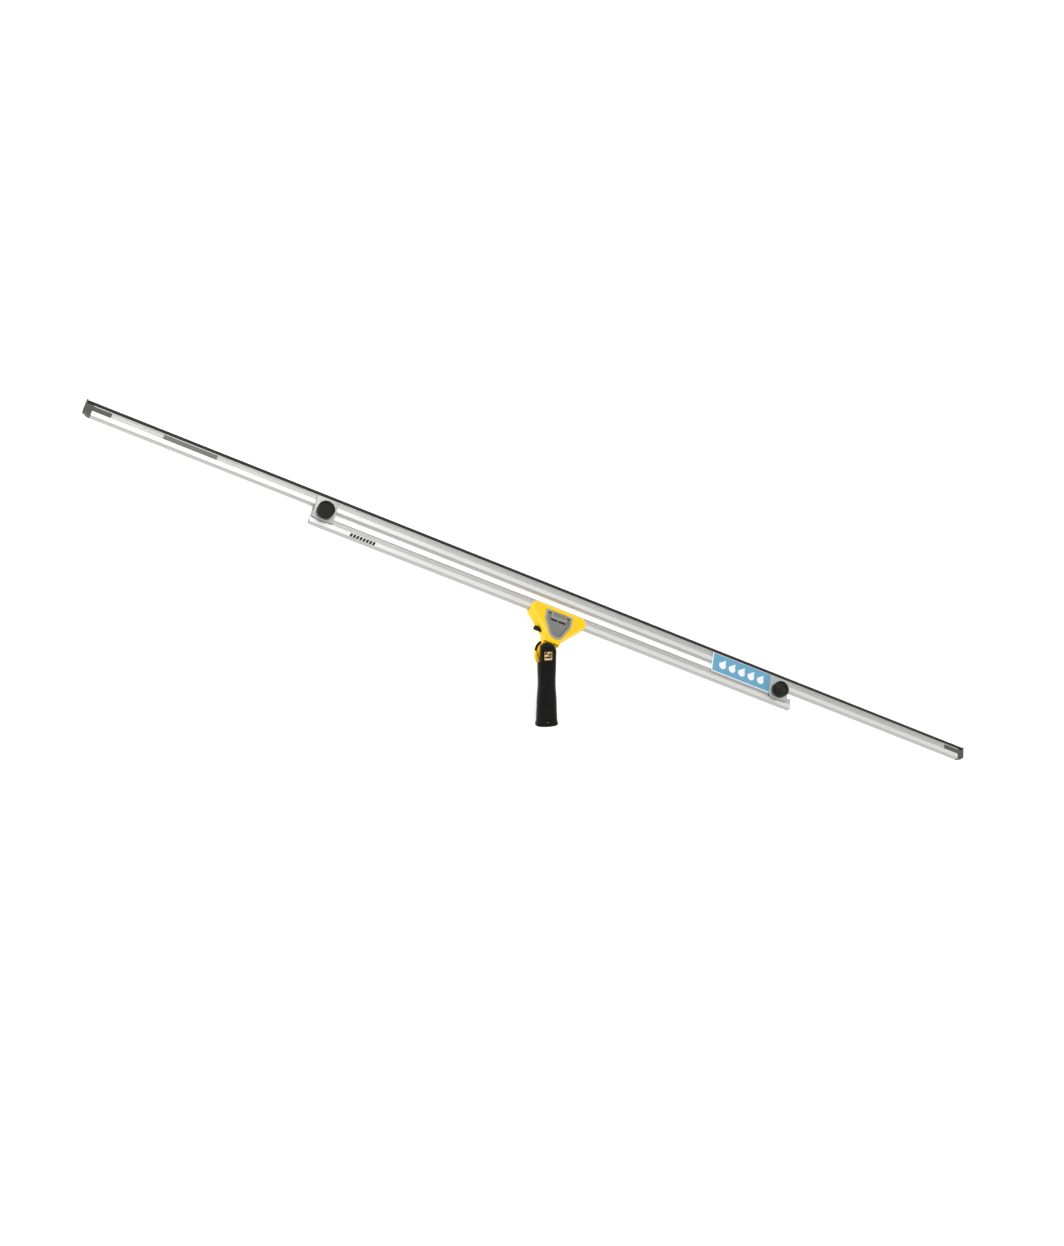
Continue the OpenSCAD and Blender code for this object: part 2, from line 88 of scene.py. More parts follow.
TOOL = Matrix.Translation((0, TIP.y, TIP.z)) @ LEAN
HEAD = TOOL @ Matrix.Translation((HEAD_X, 0, 0))
NECK = TOOL @ Matrix.Translation((NECK_X, -SWIVEL_DROP, -SWIVEL_BACK)) @ Matrix.Rotation(NECK_BEND, 4, "X")
GRIP = NECK @ Matrix.Rotation(SWING, 4, "Z")


def clamp_frame(side):
    """Frame on a clamp bolt's axis, at the bars' mid-plane."""
    lo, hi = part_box("clamp_bolt_" + side)
    return TOOL @ Matrix.Translation(((lo.x + hi.x) / 2 / MM, BOLT_Y, 0))


def along_bars(node):
    """Where a node starts and ends along the bars."""
    lo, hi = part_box(node)
    return lo.x / MM, hi.x / MM


# ---------------------------------------------------------------- camera and light


# The camera in the tool's own frame, its place in millimetres; the floor's sizes are in metres
CAMERA_AT = Vector((-643.9, -1111.4, 1661.9))
CAMERA_RIGHT = Vector((0.8912, 0.1610, 0.4241))
CAMERA_UP = Vector((-0.3456, 0.8465, 0.4050))
CAMERA_BACK = Vector((-0.2937, -0.5075, 0.8100))
LENS = 43.34
HORIZON_LIGHT = 0.92
ZENITH_LIGHT = 0.98
FLOOR_HALF = 40.0
FLOOR_DROP = 0.0002


def in_metres(place):
    """A frame with its turn kept and its origin in metres."""
    return Matrix.Translation(place.translation * (MM - 1)) @ place


def make_camera():
    """The photograph's view: high over the front face, from the grip's side, turned a little."""
    data = bpy.data.cameras.new("camera")
    data.sensor_width = 36
    data.lens = LENS
    data.clip_end = 100
    cam = bpy.data.objects.new("camera", data)
    bpy.context.collection.objects.link(cam)
    turn = Matrix((CAMERA_RIGHT, CAMERA_UP, CAMERA_BACK)).transposed().to_4x4()
    cam.matrix_world = in_metres(TOOL) @ Matrix.Translation(CAMERA_AT * MM) @ turn
    bpy.context.scene.camera = cam


def make_area(name, at, aim, size, power):
    """White area light placed and aimed in the tool's own frame, in metres."""
    at, aim = (in_metres(TOOL) @ Vector(p) for p in (at, aim))
    data = bpy.data.lights.new(name, "AREA")
    data.shape = "RECTANGLE"
    data.size, data.size_y = size
    data.energy = power
    lamp = bpy.data.objects.new(name, data)
    bpy.context.collection.objects.link(lamp)
    lamp.location = at
    lamp.rotation_mode = "QUATERNION"
    lamp.rotation_quaternion = (aim - at).to_track_quat("-Z", "Y")


def make_studio():
    """Bright tent, a little dimmer towards the horizon, and two soft boxes."""
    world = bpy.data.worlds.new("studio")
    bpy.context.scene.world = world
    world.use_nodes = True
    nodes, links = world.node_tree.nodes, world.node_tree.links
    sky = nodes["Background"]
    where = nodes.new("ShaderNodeTexCoord").outputs["Generated"]
    height = nodes.new("ShaderNodeSeparateXYZ")
    links.new(where, height.inputs[0])
    tent = nodes.new("ShaderNodeMapRange")
    tent.inputs["From Min"].default_value = 0.1
    tent.inputs["From Max"].default_value = 0.9
    tent.inputs["To Min"].default_value = HORIZON_LIGHT
    tent.inputs["To Max"].default_value = ZENITH_LIGHT
    links.new(height.outputs["Z"], tent.inputs["Value"])
    links.new(tent.outputs["Result"], sky.inputs["Strength"])
    sky.inputs["Color"].default_value = (1.0, 1.0, 1.0, 1)
    make_area("key", (-0.55, 1.15, 1.7), (-0.35, 0, 0), (1.1, 0.9), 4)
    make_area("side", (-1.9, -0.3, 0.9), (0, -0.05, 0), (0.8, 0.8), 7)
    bpy.context.scene.view_settings.view_transform = "Standard"


def make_floor():
    """Pale paper floor just under the tool."""
    mesh = bpy.data.meshes.new("floor")
    half = FLOOR_HALF
    corners = [(-half, -half, 0), (half, -half, 0), (half, half, 0), (-half, half, 0)]
    mesh.from_pydata(corners, [], [(0, 1, 2, 3)])
    floor = bpy.data.objects.new("floor", mesh)
    bpy.context.collection.objects.link(floor)
    floor.location.z = -FLOOR_DROP
    g = Graph("floor_paper")
    fibre = g.noise(60, detail=6)
    g.colour(g.ramp(fibre, (0.93, 0.93, 0.925), (0.955, 0.955, 0.95)))
    g.set("Roughness", 0.9)
    g.set("Emission Color", (1.0, 1.0, 0.995))
    g.set("Emission Strength", 0.45)
    g.bump(fibre, 0.02, 0.0005)
    mesh.materials.append(g.material)


# ---------------------------------------------------------------- material graph


class Graph:
    """A node material on one Principled shader, with short calls for the nodes used here."""

    def __init__(self, name):
        self.material = bpy.data.materials.new(name)
        self.material.use_nodes = True
        self.tree = self.material.node_tree
        self.shader = self.tree.nodes["Principled BSDF"]
        coords = self.tree.nodes.new("ShaderNodeTexCoord")
        self.here = coords.outputs["Object"]
        self.normal = None

    def node(self, kind, **props):
        """A new node with its properties set."""
        made = self.tree.nodes.new(kind)
        for key, value in props.items():
            setattr(made, key, value)
        return made

    def feed(self, socket, value):
        """Links an output to a socket, or sets the socket to a number or colour."""
        if isinstance(value, bpy.types.NodeSocket):
            self.tree.links.new(value, socket)
        elif isinstance(value, tuple) and len(value) == 3 and socket.type == "RGBA":
            socket.default_value = (*value, 1)
        else:
            socket.default_value = value

    def set(self, name, value):
        self.feed(self.shader.inputs[name], value)

    def colour(self, value):
        self.set("Base Color", value)

    def stretched(self, scale):
        """Object coordinates with their own scale on each axis."""
        mapping = self.node("ShaderNodeMapping")
        self.feed(mapping.inputs["Vector"], self.here)
        mapping.inputs["Scale"].default_value = scale
        return mapping.outputs["Vector"]

    def noise(self, scale, detail=3, vector=None):
        made = self.node("ShaderNodeTexNoise")
        self.feed(made.inputs["Vector"], vector or self.here)
        made.inputs["Scale"].default_value = scale
        made.inputs["Detail"].default_value = detail
        made.inputs["Roughness"].default_value = 0.55
        return made.outputs["Fac"]

    def ramp(self, value, low, high):
        """A colour between low and high, over the middle of a noise's range."""
        made = self.node("ShaderNodeValToRGB")
        self.feed(made.inputs["Fac"], value)
        made.color_ramp.elements[0].position = 0.3
        made.color_ramp.elements[1].position = 0.7
        made.color_ramp.elements[0].color = (*low, 1)
        made.color_ramp.elements[1].color = (*high, 1)
        return made.outputs["Color"]

    def spread(self, value, low, high, start=0.3, end=0.7):
        """A number from low to high, as value goes from start to end."""
        made = self.node("ShaderNodeMapRange", clamp=True)
        self.feed(made.inputs["Value"], value)
        made.inputs["From Min"].default_value = start
        made.inputs["From Max"].default_value = end
        made.inputs["To Min"].default_value = low
        made.inputs["To Max"].default_value = high
        return made.outputs["Result"]

    def mix(self, fac, a, b):
        """Colour a where fac is 0, colour b where it is 1."""
        made = self.node("ShaderNodeMix", data_type="RGBA")
        self.feed(made.inputs["Factor"], fac)
        colour_sockets = [s for s in made.inputs if s.type == "RGBA"]
        self.feed(colour_sockets[0], a)
        self.feed(colour_sockets[1], b)
        return [s for s in made.outputs if s.type == "RGBA"][0]

    def sum(self, a, b):
        made = self.node("ShaderNodeMath", operation="ADD")
        self.feed(made.inputs[0], a)
        self.feed(made.inputs[1], b)
        return made.outputs[0]

    def bump(self, height, strength, distance):
        """Adds a bump to the surface, on top of those before it."""
        made = self.node("ShaderNodeBump")
        made.inputs["Strength"].default_value = strength
        made.inputs["Distance"].default_value = distance
        self.feed(made.inputs["Height"], height)
        if self.normal:
            self.feed(made.inputs["Normal"], self.normal)
        self.normal = made.outputs["Normal"]
        self.set("Normal", self.normal)


def aluminium(name, tint, rough, along_x=True):
    """Satin anodised metal with fine die lines along the bar and a few handling scratches."""
    g = Graph(name)
    lines_scale = (6, 2600, 2600) if along_x else (900, 900, 900)
    lines = g.noise(1, detail=4, vector=g.stretched(lines_scale))
    cloud = g.noise(14, detail=4)
    light = tuple(min(1, c * 1.04) for c in tint)
    dark = tuple(c * 0.93 for c in tint)
    g.colour(g.mix(g.spread(cloud, 0.15, 0.85), g.ramp(lines, dark, tint), light))
    g.set("Metallic", 1.0)
    g.set("Roughness", g.sum(g.spread(lines, rough - 0.05, rough + 0.05), g.spread(cloud, -0.02, 0.04)))
    g.bump(lines, 0.12, 0.00012)
    scratch = g.noise(1, detail=2, vector=g.stretched((90, 1700, 700)))
    g.bump(g.spread(scratch, 0, 1, 0.70, 0.74), 0.08, 0.00006)
    return g.material


def moulded(name, tint, rough, grain=2600, depth=0.00005, dirt=0.06, shine=0.35):
    """Moulded plastic: a fine spark-eroded grain, slow colour drift and slightly uneven gloss."""
    g = Graph(name)
    cloud = g.noise(28, detail=5)
    fine = g.noise(grain, detail=2)
    light = tuple(min(1, c * (1 + dirt)) for c in tint)
    dark = tuple(c * (1 - dirt) for c in tint)
    g.colour(g.mix(g.spread(fine, 0.0, 0.35), g.ramp(cloud, dark, light), dark))
    g.set("Roughness", g.sum(g.spread(fine, rough - 0.05, rough + 0.07), g.spread(cloud, -0.03, 0.03)))
    g.set("Specular IOR Level", shine)
    g.bump(fine, 0.35, depth)
    return g.material


def rubber(name):
    """Black wiping rubber: streaks along the blade and a little dust."""
    g = Graph(name)
    streak = g.noise(1, detail=3, vector=g.stretched((20, 900, 900)))
    dust = g.noise(700, detail=3)
    body = g.ramp(streak, (0.012, 0.012, 0.0115), (0.026, 0.026, 0.024))
    g.colour(g.mix(g.spread(dust, 0, 0.35, 0.6, 0.8), body, (0.07, 0.07, 0.066)))
    g.set("Roughness", g.spread(streak, 0.42, 0.6))
    g.set("Specular IOR Level", 0.25)
    g.bump(streak, 0.2, 0.0001)
    return g.material


def metal(name, tint, rough):
    """Plated or turned metal for bolts, pins, springs and inserts."""
    g = Graph(name)
    cloud = g.noise(160, detail=4)
    fine = g.noise(1800, detail=3)
    g.colour(g.ramp(cloud, tuple(c * 0.85 for c in tint), tint))
    g.set("Metallic", 1.0)
    g.set("Roughness", g.spread(fine, rough - 0.06, rough + 0.1))
    g.bump(fine, 0.2, 0.00004)
    return g.material


def printed_foil(name, tint):
    """Slightly crinkled foil of a sticker."""
    g = Graph(name)
    crinkle = g.noise(420, detail=4)
    cloud = g.noise(130, detail=3)
    g.colour(g.ramp(cloud, tuple(c * 0.7 for c in tint), tint))
    g.set("Metallic", 0.55)
    g.set("Roughness", g.spread(crinkle, 0.25, 0.45))
    g.bump(crinkle, 0.3, 0.0001)
    return g.material


# ---------------------------------------------------------------- outlines


def arc(centre, r, start, end, steps):
    """Points round a centre, from angle start to angle end in degrees, both ends included."""
    out = []
    for i in range(steps + 1):
        a = math.radians(start + (end - start) * i / steps)
        out.append((centre[0] + r * math.cos(a), centre[1] + r * math.sin(a)))
    return out


def eased(t):
    """0 to 1, slow at both ends."""
    t = min(1, max(0, t))
    return t * t * (3 - 2 * t)


def filleted(corners, steps=6):
    """Closed outline from (x, y, radius) corners, each turned into an arc of that radius."""
    out = []
    n = len(corners)
    for i, (x, y, r) in enumerate(corners):
        here = Vector((x, y))
        before = (Vector(corners[i - 1][:2]) - here).normalized()
        after = (Vector(corners[(i + 1) % n][:2]) - here).normalized()
        if r <= 0:
            out.append((x, y))
            continue
        half = before.angle(after) / 2
        reach = r / math.tan(half)
        centre = here + (before + after).normalized() * (r / math.sin(half))
        p, q = here + before * reach - centre, here + after * reach - centre
        turn = p.angle_signed(q)
        for k in range(steps + 1):
            a = -turn * k / steps
            c, s = math.cos(a), math.sin(a)
            out.append((centre.x + p.x * c - p.y * s, centre.y + p.x * s + p.y * c))
    return out


def area_of(outline):
    """Signed area, positive for an outline that runs anticlockwise."""
    return sum(a[0] * b[1] - b[0] * a[1] for a, b in zip(outline, outline[1:] + outline[:1])) / 2


def inset(outline, d):
    """The outline moved inwards by d along its own corner normals."""
    out = []
    n = len(outline)
    sign = 1 if area_of(outline) > 0 else -1
    for i in range(n):
        a, b, c = (Vector(outline[k]) for k in (i - 1, i, (i + 1) % n))
        e, f = (b - a).normalized(), (c - b).normalized()
        normal = Vector((-(e.y + f.y), e.x + f.x)).normalized() * sign
        across = Vector((-e.y, e.x)) * sign
        scale = max(0.5, normal.dot(across))
        out.append(tuple(b + normal * (d / scale)))
    return out


def hull_of(circles, steps=48):
    """Closed outline drawn tight round (x, y, radius) circles."""
    rim = [Vector(p) for x, y, r in circles for p in arc((x, y), r, 0, 360 - 360 / steps, steps - 1)]
    return [tuple(rim[i]) for i in convex_hull_2d(rim)]


def rect(x0, x1, y0, y1, r=0.0):
    """Rectangle with rounded corners."""
    return filleted([(x0, y0, r), (x1, y0, r), (x1, y1, r), (x0, y1, r)])


# ---------------------------------------------------------------- mesh builders


def mesh_object(name, verts, faces, place):
    """A Blender object, in metres, from vertices in millimetres of the frame in place."""
    mesh = bpy.data.meshes.new(name)
    mesh.from_pydata([place @ Vector(v) * MM for v in verts], [], faces)
    bm = bmesh.new()
    bm.from_mesh(mesh)
    bmesh.ops.remove_doubles(bm, verts=bm.verts, dist=1e-7)
    bmesh.ops.recalc_face_normals(bm, faces=bm.faces)
    bm.to_mesh(mesh)
    bm.free()
    obj = bpy.data.objects.new(name, mesh)
    bpy.context.collection.objects.link(obj)
    return obj


def skin(rings, closed_ends=True):
    """Vertices and faces of a tube through rings that have the same number of points."""
    verts = [p for ring in rings for p in ring]
    n = len(rings[0])
    faces = []
    for i in range(len(rings) - 1):
        for k in range(n):
            k1 = (k + 1) % n
            faces.append((i * n + k, i * n + k1, (i + 1) * n + k1, (i + 1) * n + k))
    if closed_ends:
        faces.append(tuple(reversed(range(n))))
        faces.append(tuple(range((len(rings) - 1) * n, len(rings) * n)))
    return verts, faces


def edge_steps(r, steps=3):
    """(inset, rise) pairs of a rounded edge, from the flat face to the side wall."""
    out = []
    for i in range(steps + 1):
        a = math.pi / 2 * i / steps
        out.append((r * (1 - math.sin(a)), r * (1 - math.cos(a))))
    return out


def flat(outline, z0, z1):
    """Plain plate with sharp edges."""
    return skin([[(x, y, z) for x, y in outline] for z in (z0, z1)])


def slab(outline, z0, z1, low_edge, high_edge):
    """Rings of a plate with rounded lower and upper edges."""
    rings = []
    for d, rise in edge_steps(low_edge):
        rings.append([(x, y, z0 + rise) for x, y in inset(outline, d)])
    for d, rise in reversed(edge_steps(high_edge)):
        rings.append([(x, y, z1 - rise) for x, y in inset(outline, d)])
    return skin(rings)


def bar_between(outline, x0, x1, edge=0.15):
    """Rings of a (Y, Z) outline run along X, with its end edges eased."""
    rings = []
    for d, rise in edge_steps(edge, 2):
        rings.append([(x0 + rise, y, z) for y, z in inset(outline, d)])
    for d, rise in reversed(edge_steps(edge, 2)):
        rings.append([(x1 - rise, y, z) for y, z in inset(outline, d)])
    return skin(rings)


def lathe(profile, segments=96, ripple=None):
    """Solid turned from (radius, height) points about Z. ripple(angle, r, z) may change a radius."""
    rings = []
    for r, z in profile:
        ring = []
        for k in range(segments):
            a = 2 * math.pi * k / segments
            d = ripple(a, r, z) if ripple else r
            ring.append((d * math.cos(a), d * math.sin(a), z))
        rings.append(ring)
    return skin(rings)


def lathe_ring(profile, segments):
    """Ring turned about Z, its last profile point closed onto its first."""
    verts, faces = lathe(profile, segments)
    last = (len(profile) - 1) * segments
    closing = [(last + k, last + (k + 1) % segments, (k + 1) % segments, k) for k in range(segments)]
    return verts, faces[:-2] + closing


def joined(*shapes):
    """Several (verts, faces) solids as one."""
    verts, faces = [], []
    for v, f in shapes:
        faces += [tuple(i + len(verts) for i in face) for face in f]
        verts += v
    return verts, faces


def turned(shape, matrix):
    """A solid moved by a matrix."""
    verts, faces = shape
    return [tuple(matrix @ Vector(v)) for v in verts], faces


def tube_coil(r, wire, turns, length, sides=10, steps=28):
    """Compression spring along Z, from 0 to length, wound a little closer at its two ends."""
    rings = []
    n = int(turns * steps)
    for i in range(n + 1):
        a = 2 * math.pi * i / steps
        t = i / n
        z = wire + (eased(t) * 0.25 + t * 0.75) * (length - 2 * wire)
        centre = Vector((r * math.cos(a), r * math.sin(a), z))
        out = Vector((math.cos(a), math.sin(a), 0))
        rings.append(
            [
                tuple(centre + out * (wire * math.cos(b)) + Vector((0, 0, wire * math.sin(b))))
                for b in (2 * math.pi * k / sides for k in range(sides))
            ]
        )
    return skin(rings)


def shorten(coil):
    """Gives a spring its own copy of its mesh; its length stays as built."""
    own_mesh(coil)


def cut(obj, *cutters):
    """Takes each cutter away from obj and removes it."""
    for cutter in cutters:
        mod = obj.modifiers.new("cut", "BOOLEAN")
        mod.operation = "DIFFERENCE"
        mod.solver = "MANIFOLD"
        mod.object = cutter
        apply_modifiers(obj)
        bpy.data.objects.remove(cutter)


def join_solids(obj, *others):
    """Adds each other solid to obj and removes it."""
    for other in others:
        mod = obj.modifiers.new("join", "BOOLEAN")
        mod.operation = "UNION"
        mod.solver = "MANIFOLD"
        mod.object = other
        apply_modifiers(obj)
        bpy.data.objects.remove(other)


def apply_modifiers(obj):
    """Keeps the modifiers' result as obj's own mesh."""
    graph = bpy.context.evaluated_depsgraph_get()
    made = bpy.data.meshes.new_from_object(obj.evaluated_get(graph))
    old = obj.data
    obj.modifiers.clear()
    obj.data = made
    made.name = old.name
    bpy.data.meshes.remove(old)


def smooth_by_angle(obj):
    """Smooth shading, with edges sharper than 32 degrees left sharp."""
    limit = math.radians(32)
    bm = bmesh.new()
    bm.from_mesh(obj.data)
    for face in bm.faces:
        face.smooth = True
    for edge in bm.edges:
        edge.smooth = len(edge.link_faces) == 2 and edge.calc_face_angle(0) < limit
    bm.to_mesh(obj.data)
    bm.free()


def piece(name, shape, place, material, body, node=None, cutters=(), joins=(), areas=()):
    """Makes a finished piece that rides on a CAD body and stands for a CAD node."""
    obj = mesh_object(name, *shape, place)
    join_solids(obj, *joins)
    cut(obj, *cutters)
    smooth_by_angle(obj)
    obj.data.materials.clear()
    obj.data.materials.append(material)
    for other, chosen in areas:
        paint(obj, other, place.inverted(), chosen)
    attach(obj, body)
    if node:
        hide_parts(node)
    return obj


def paint(obj, material, into_place, chosen):
    """Gives a material to the faces whose middle, in millimetres of the piece's own frame, is chosen."""
    obj.data.materials.append(material)
    for face in obj.data.polygons:
        if chosen(into_place @ (face.center / MM)):
            face.material_index = len(obj.data.materials) - 1


def tool(shape, place):
    """A cutter or a solid to join."""
    return mesh_object("tool", *shape, place)


def box(x, y, z):
    """Block from its (low, high) extents."""
    return skin([[(x[0], y[0], h), (x[1], y[0], h), (x[1], y[1], h), (x[0], y[1], h)] for h in z])


def rod(r, z0, z1, segments=48, at=(0, 0)):
    """Round bar along Z."""
    return flat(arc(at, r, 0, 360 - 360 / segments, segments - 1), z0, z1)


ALONG_X = Matrix.Rotation(math.radians(90), 4, "Y")
ALONG_MINUS_Y = Matrix.Rotation(math.radians(90), 4, "X")


# ---------------------------------------------------------------- bars and rubber

TRACK = (-8.4, -1.0)
TRACK_DEPTH = 0.9
RIDGE_H = 0.3
CHAMBER_Y = (-14.8, -9.2)
CHAMBER_HALF = 2.8
SLOT_HALF = 1.65
BEAD_Y = -4.7
BEAD_ROOM = 2.3
BEAD_R = 2.2
RUBBER_HALF = 1.5
CAP_LEN = 11.0
CAP_CORNER = 9.0
CAP_WALL = 2.0
TONGUE_Y = (-14.75, -7.65)
TONGUE_LEN = 24.0
PLUG_Y = (-21.1, -15.9)
PLUG_HALF = 2.6
PLUG_LEN = 12.0
STRIP_Y = (-14.7, -7.7)


def bar_outline():
    """Section of both bars as (Y, Z) points from the top edge, round the open rubber slot and the track."""
    h, f = BAR_H, FRONT
    floor = f - TRACK_DEPTH
    dip = math.degrees(math.asin(SLOT_HALF / BEAD_ROOM))
    pts = arc((-0.4, -SLOT_HALF - 0.4), 0.4, 0, 90, 3)
    pts += arc((BEAD_Y, 0), BEAD_ROOM, -dip, -360 + dip, 24)
    pts += arc((-0.4, SLOT_HALF + 0.4), 0.4, -90, 0, 3)
    pts += arc((-0.5, f - 0.5), 0.5, 0, 90, 3)
    pts += [(TRACK[1], f), (TRACK[1], floor)]
    grooves = 5
    pitch = (TRACK[1] - TRACK[0]) / grooves
    for i in range(grooves):
        y = TRACK[1] - i * pitch
        pts += [(y - pitch * 0.33, floor), (y - pitch * 0.42, floor + RIDGE_H),
                (y - pitch * 0.58, floor + RIDGE_H), (y - pitch * 0.67, floor)]
    pts += [(TRACK[0], floor), (TRACK[0], f - 0.12), (TRACK[0] - 0.12, f)]
    pts += arc((-h + 0.9, f - 0.9), 0.9, 90, 180, 5)
    pts += arc((-h + 0.9, -f + 0.9), 0.9, 180, 270, 5)
    pts += arc((-0.5, -f + 0.5), 0.5, 270, 360, 3)
    return pts


def capped_section(outer, hole, x0, x1):
    """An outline with one inner hole, run along X, its ends capped round the hole."""
    bm = bmesh.new()
    for x in (x0, x1):
        edges = []
        for loop in (outer, hole):
            vs = [bm.verts.new((x, y, z)) for y, z in loop]
            edges += [bm.edges.new((a, b)) for a, b in zip(vs, vs[1:] + vs[:1])]
        bmesh.ops.triangle_fill(bm, edges=edges, use_beauty=True)
    bm.verts.ensure_lookup_table()
    bm.verts.index_update()
    total = len(outer) + len(hole)
    for start, count in ((0, len(outer)), (len(outer), len(hole))):
        for k in range(count):
            a, b = start + k, start + (k + 1) % count
            bm.faces.new([bm.verts[i] for i in (a, b, b + total, a + total)])
    shape = [tuple(v.co) for v in bm.verts], [tuple(v.index for v in f.verts) for f in bm.faces]
    bm.free()
    return shape


def make_bar(name, top, body):
    """Extruded bar, with darker copies of its own metal painted into its track, on the ridges, below and in
    the chamber as painted shade.
    """
    chamber = rect(*CHAMBER_Y, -CHAMBER_HALF, CHAMBER_HALF, 0.6)
    shape = capped_section(bar_outline(), chamber, *along_bars(name))
    place = TOOL @ Matrix.Translation((0, top, 0))
    floor = FRONT - TRACK_DEPTH

    # Track floor: a darker copy of the bar metal, painted shade of the recess.
    def painted_shade_track(p):
        return TRACK[0] - 0.05 < p.y < TRACK[1] + 0.05 and floor - 0.1 < p.z < FRONT - 0.05

    # Ridge flanks: a much darker copy of the bar metal, painted shade between the grooves.
    def painted_shade_ridges(p):
        return painted_shade_track(p) and floor + 0.05 < p.z < floor + RIDGE_H - 0.05

    # Lower wall: a darker copy of the bar metal, painted shade of the side turned from the light.
    def lower_wall_painted_shade(p):
        return p.y < -BAR_H + 0.95 and p.z < FRONT - 0.1

    # Inside the chamber: the dark copy of the bar metal, painted shade of the hollow.
    def painted_shade_chamber(p):
        return CHAMBER_Y[0] - 0.05 < p.y < CHAMBER_Y[1] + 0.05 and abs(p.z) < CHAMBER_HALF + 0.05

    piece(name + "_extrusion", shape, place, BAR_METAL, body, name,
          areas=[(TRACK_SHADE_METAL, painted_shade_track), (RIDGE_SHADE_METAL, painted_shade_ridges), (WALL_SHADE_METAL, lower_wall_painted_shade),
                 (RIDGE_SHADE_METAL, painted_shade_chamber)])


def make_rubber():
    """Blade with its wiping edges left sharp, a fine score where it enters the bar, and its bead."""
    half = RUBBER_HALF
    bead_y = MAIN_TOP + BEAD_Y
    dip = math.degrees(math.asin(half / BEAD_R))
    outline = [(-0.12, -half), (0, -half + 0.12), (0, half - 0.12), (-0.12, half)]
    outline += [(-5.6, half), (-5.9, half - 0.15), (-6.2, half)]
    outline += arc((bead_y, 0), BEAD_R, dip, 360 - dip, 24)
    outline += [(-6.2, -half), (-5.9, -half + 0.15), (-5.6, -half)]
    shape = bar_between(outline, *along_bars("rubber_blade"), 0.05)
    piece("rubber_strip", shape, TOOL, RUBBER, "blade_carriage", "rubber_blade")


def make_end_cap(side, sign):
    """Moulded cap: wall, body with its round lower corner, tongue in the track and plug in the chamber."""
    end = along_bars("end_cap_right")[1]
    low = MAIN_TOP - BAR_H
    metal = end - CAP_LEN
    inner = end - CAP_WALL
    tip = metal - TONGUE_LEN
    y0, y1 = TONGUE_Y
    bead_y = MAIN_TOP + BEAD_Y
    flip = Matrix.Scale(sign, 4, (1, 0, 0))
    body_plan = filleted([(metal + 0.05, low, 0.8), (end - 0.5, low, CAP_CORNER),
                          (end - 0.5, -6.6, 0.8), (metal + 0.05, -6.6, 0.8)])
    wall_plan = filleted([(inner, low + 1.4, 0.5), (end, low + 5.2, 1.9),
                          (end, -0.4, 0.6), (inner, -0.4, 0.6)])
    tongue_plan = filleted([(tip, y0, 1.2), (metal + 1, y0, 0.4), (metal + 1, y1, 0.4), (tip, y1, 1.2)])
    body = slab(body_plan, -FRONT, FRONT, 0.7, 0.7)
    wall = slab(wall_plan, -FRONT - 0.4, FRONT + 0.4, 0.45, 0.45)
    tongue = slab(tongue_plan, FRONT - 0.5, FRONT + 0.4, 0.1, 0.35)
    plug = bar_between(rect(*PLUG_Y, -PLUG_HALF, PLUG_HALF, 0.6), metal - PLUG_LEN, metal + 1)
    ribs = [slab(rect(x, x + 0.9, -20.5, -9, 0.4), FRONT - 0.1, FRONT + 0.3, 0, 0.2)
            for x in (metal + 2, metal + 4, metal + 6)]
    slot = box((metal - 1, inner), (bead_y, 1), (-1.6, 1.6))
    bead = turned(rod(BEAD_ROOM, metal - 1, inner), Matrix.Translation((0, bead_y, 0)) @ ALONG_X)
    solids = [tool(turned(s, flip), TOOL) for s in (wall, tongue, plug, *ribs)]
    cutters = [tool(turned(s, flip), TOOL) for s in (slot, bead)]
    piece("cap_" + side, turned(body, flip), TOOL, CAP_PLASTIC, "blade_carriage", "end_cap_" + side,
          cutters, solids)


def make_track_strip():
    """Dark strip snapped into the track."""
    x0, x1 = along_bars("track_strip")
    shape = slab(rect(x0, x1, *STRIP_Y, 0.5), FRONT - 0.6, FRONT + 0.1, 0.02, 0.18)
    piece("track_insert", shape, TOOL, STRIP_PLASTIC, "blade_carriage", "track_strip")


# ---------------------------------------------------------------- clamps

PLATE_HALF = 15.0
PLATE_Y = (-14.2, 20.8)
PLATE_RIB = 7.0
BACK_HALF = 15.0
BOSS_HALF = (11.0, 5.6)
BOLT_R = 3.0
THREAD_ROOT = 2.62
THREAD_FROM = 4.5
THREAD_PITCH = 1.0
BOLT_TOP = KNOB_Z + KNOB_H - 3.05
FLATS = 10.0
FLUTES = 30
INSERT_R = 4.45


def hexagon(flats):
    """Hexagon of a width across its flats."""
    r = flats / 2 / math.cos(math.radians(30))
    return [(r * math.cos(math.radians(a)), r * math.sin(math.radians(a))) for a in range(0, 360, 60)]


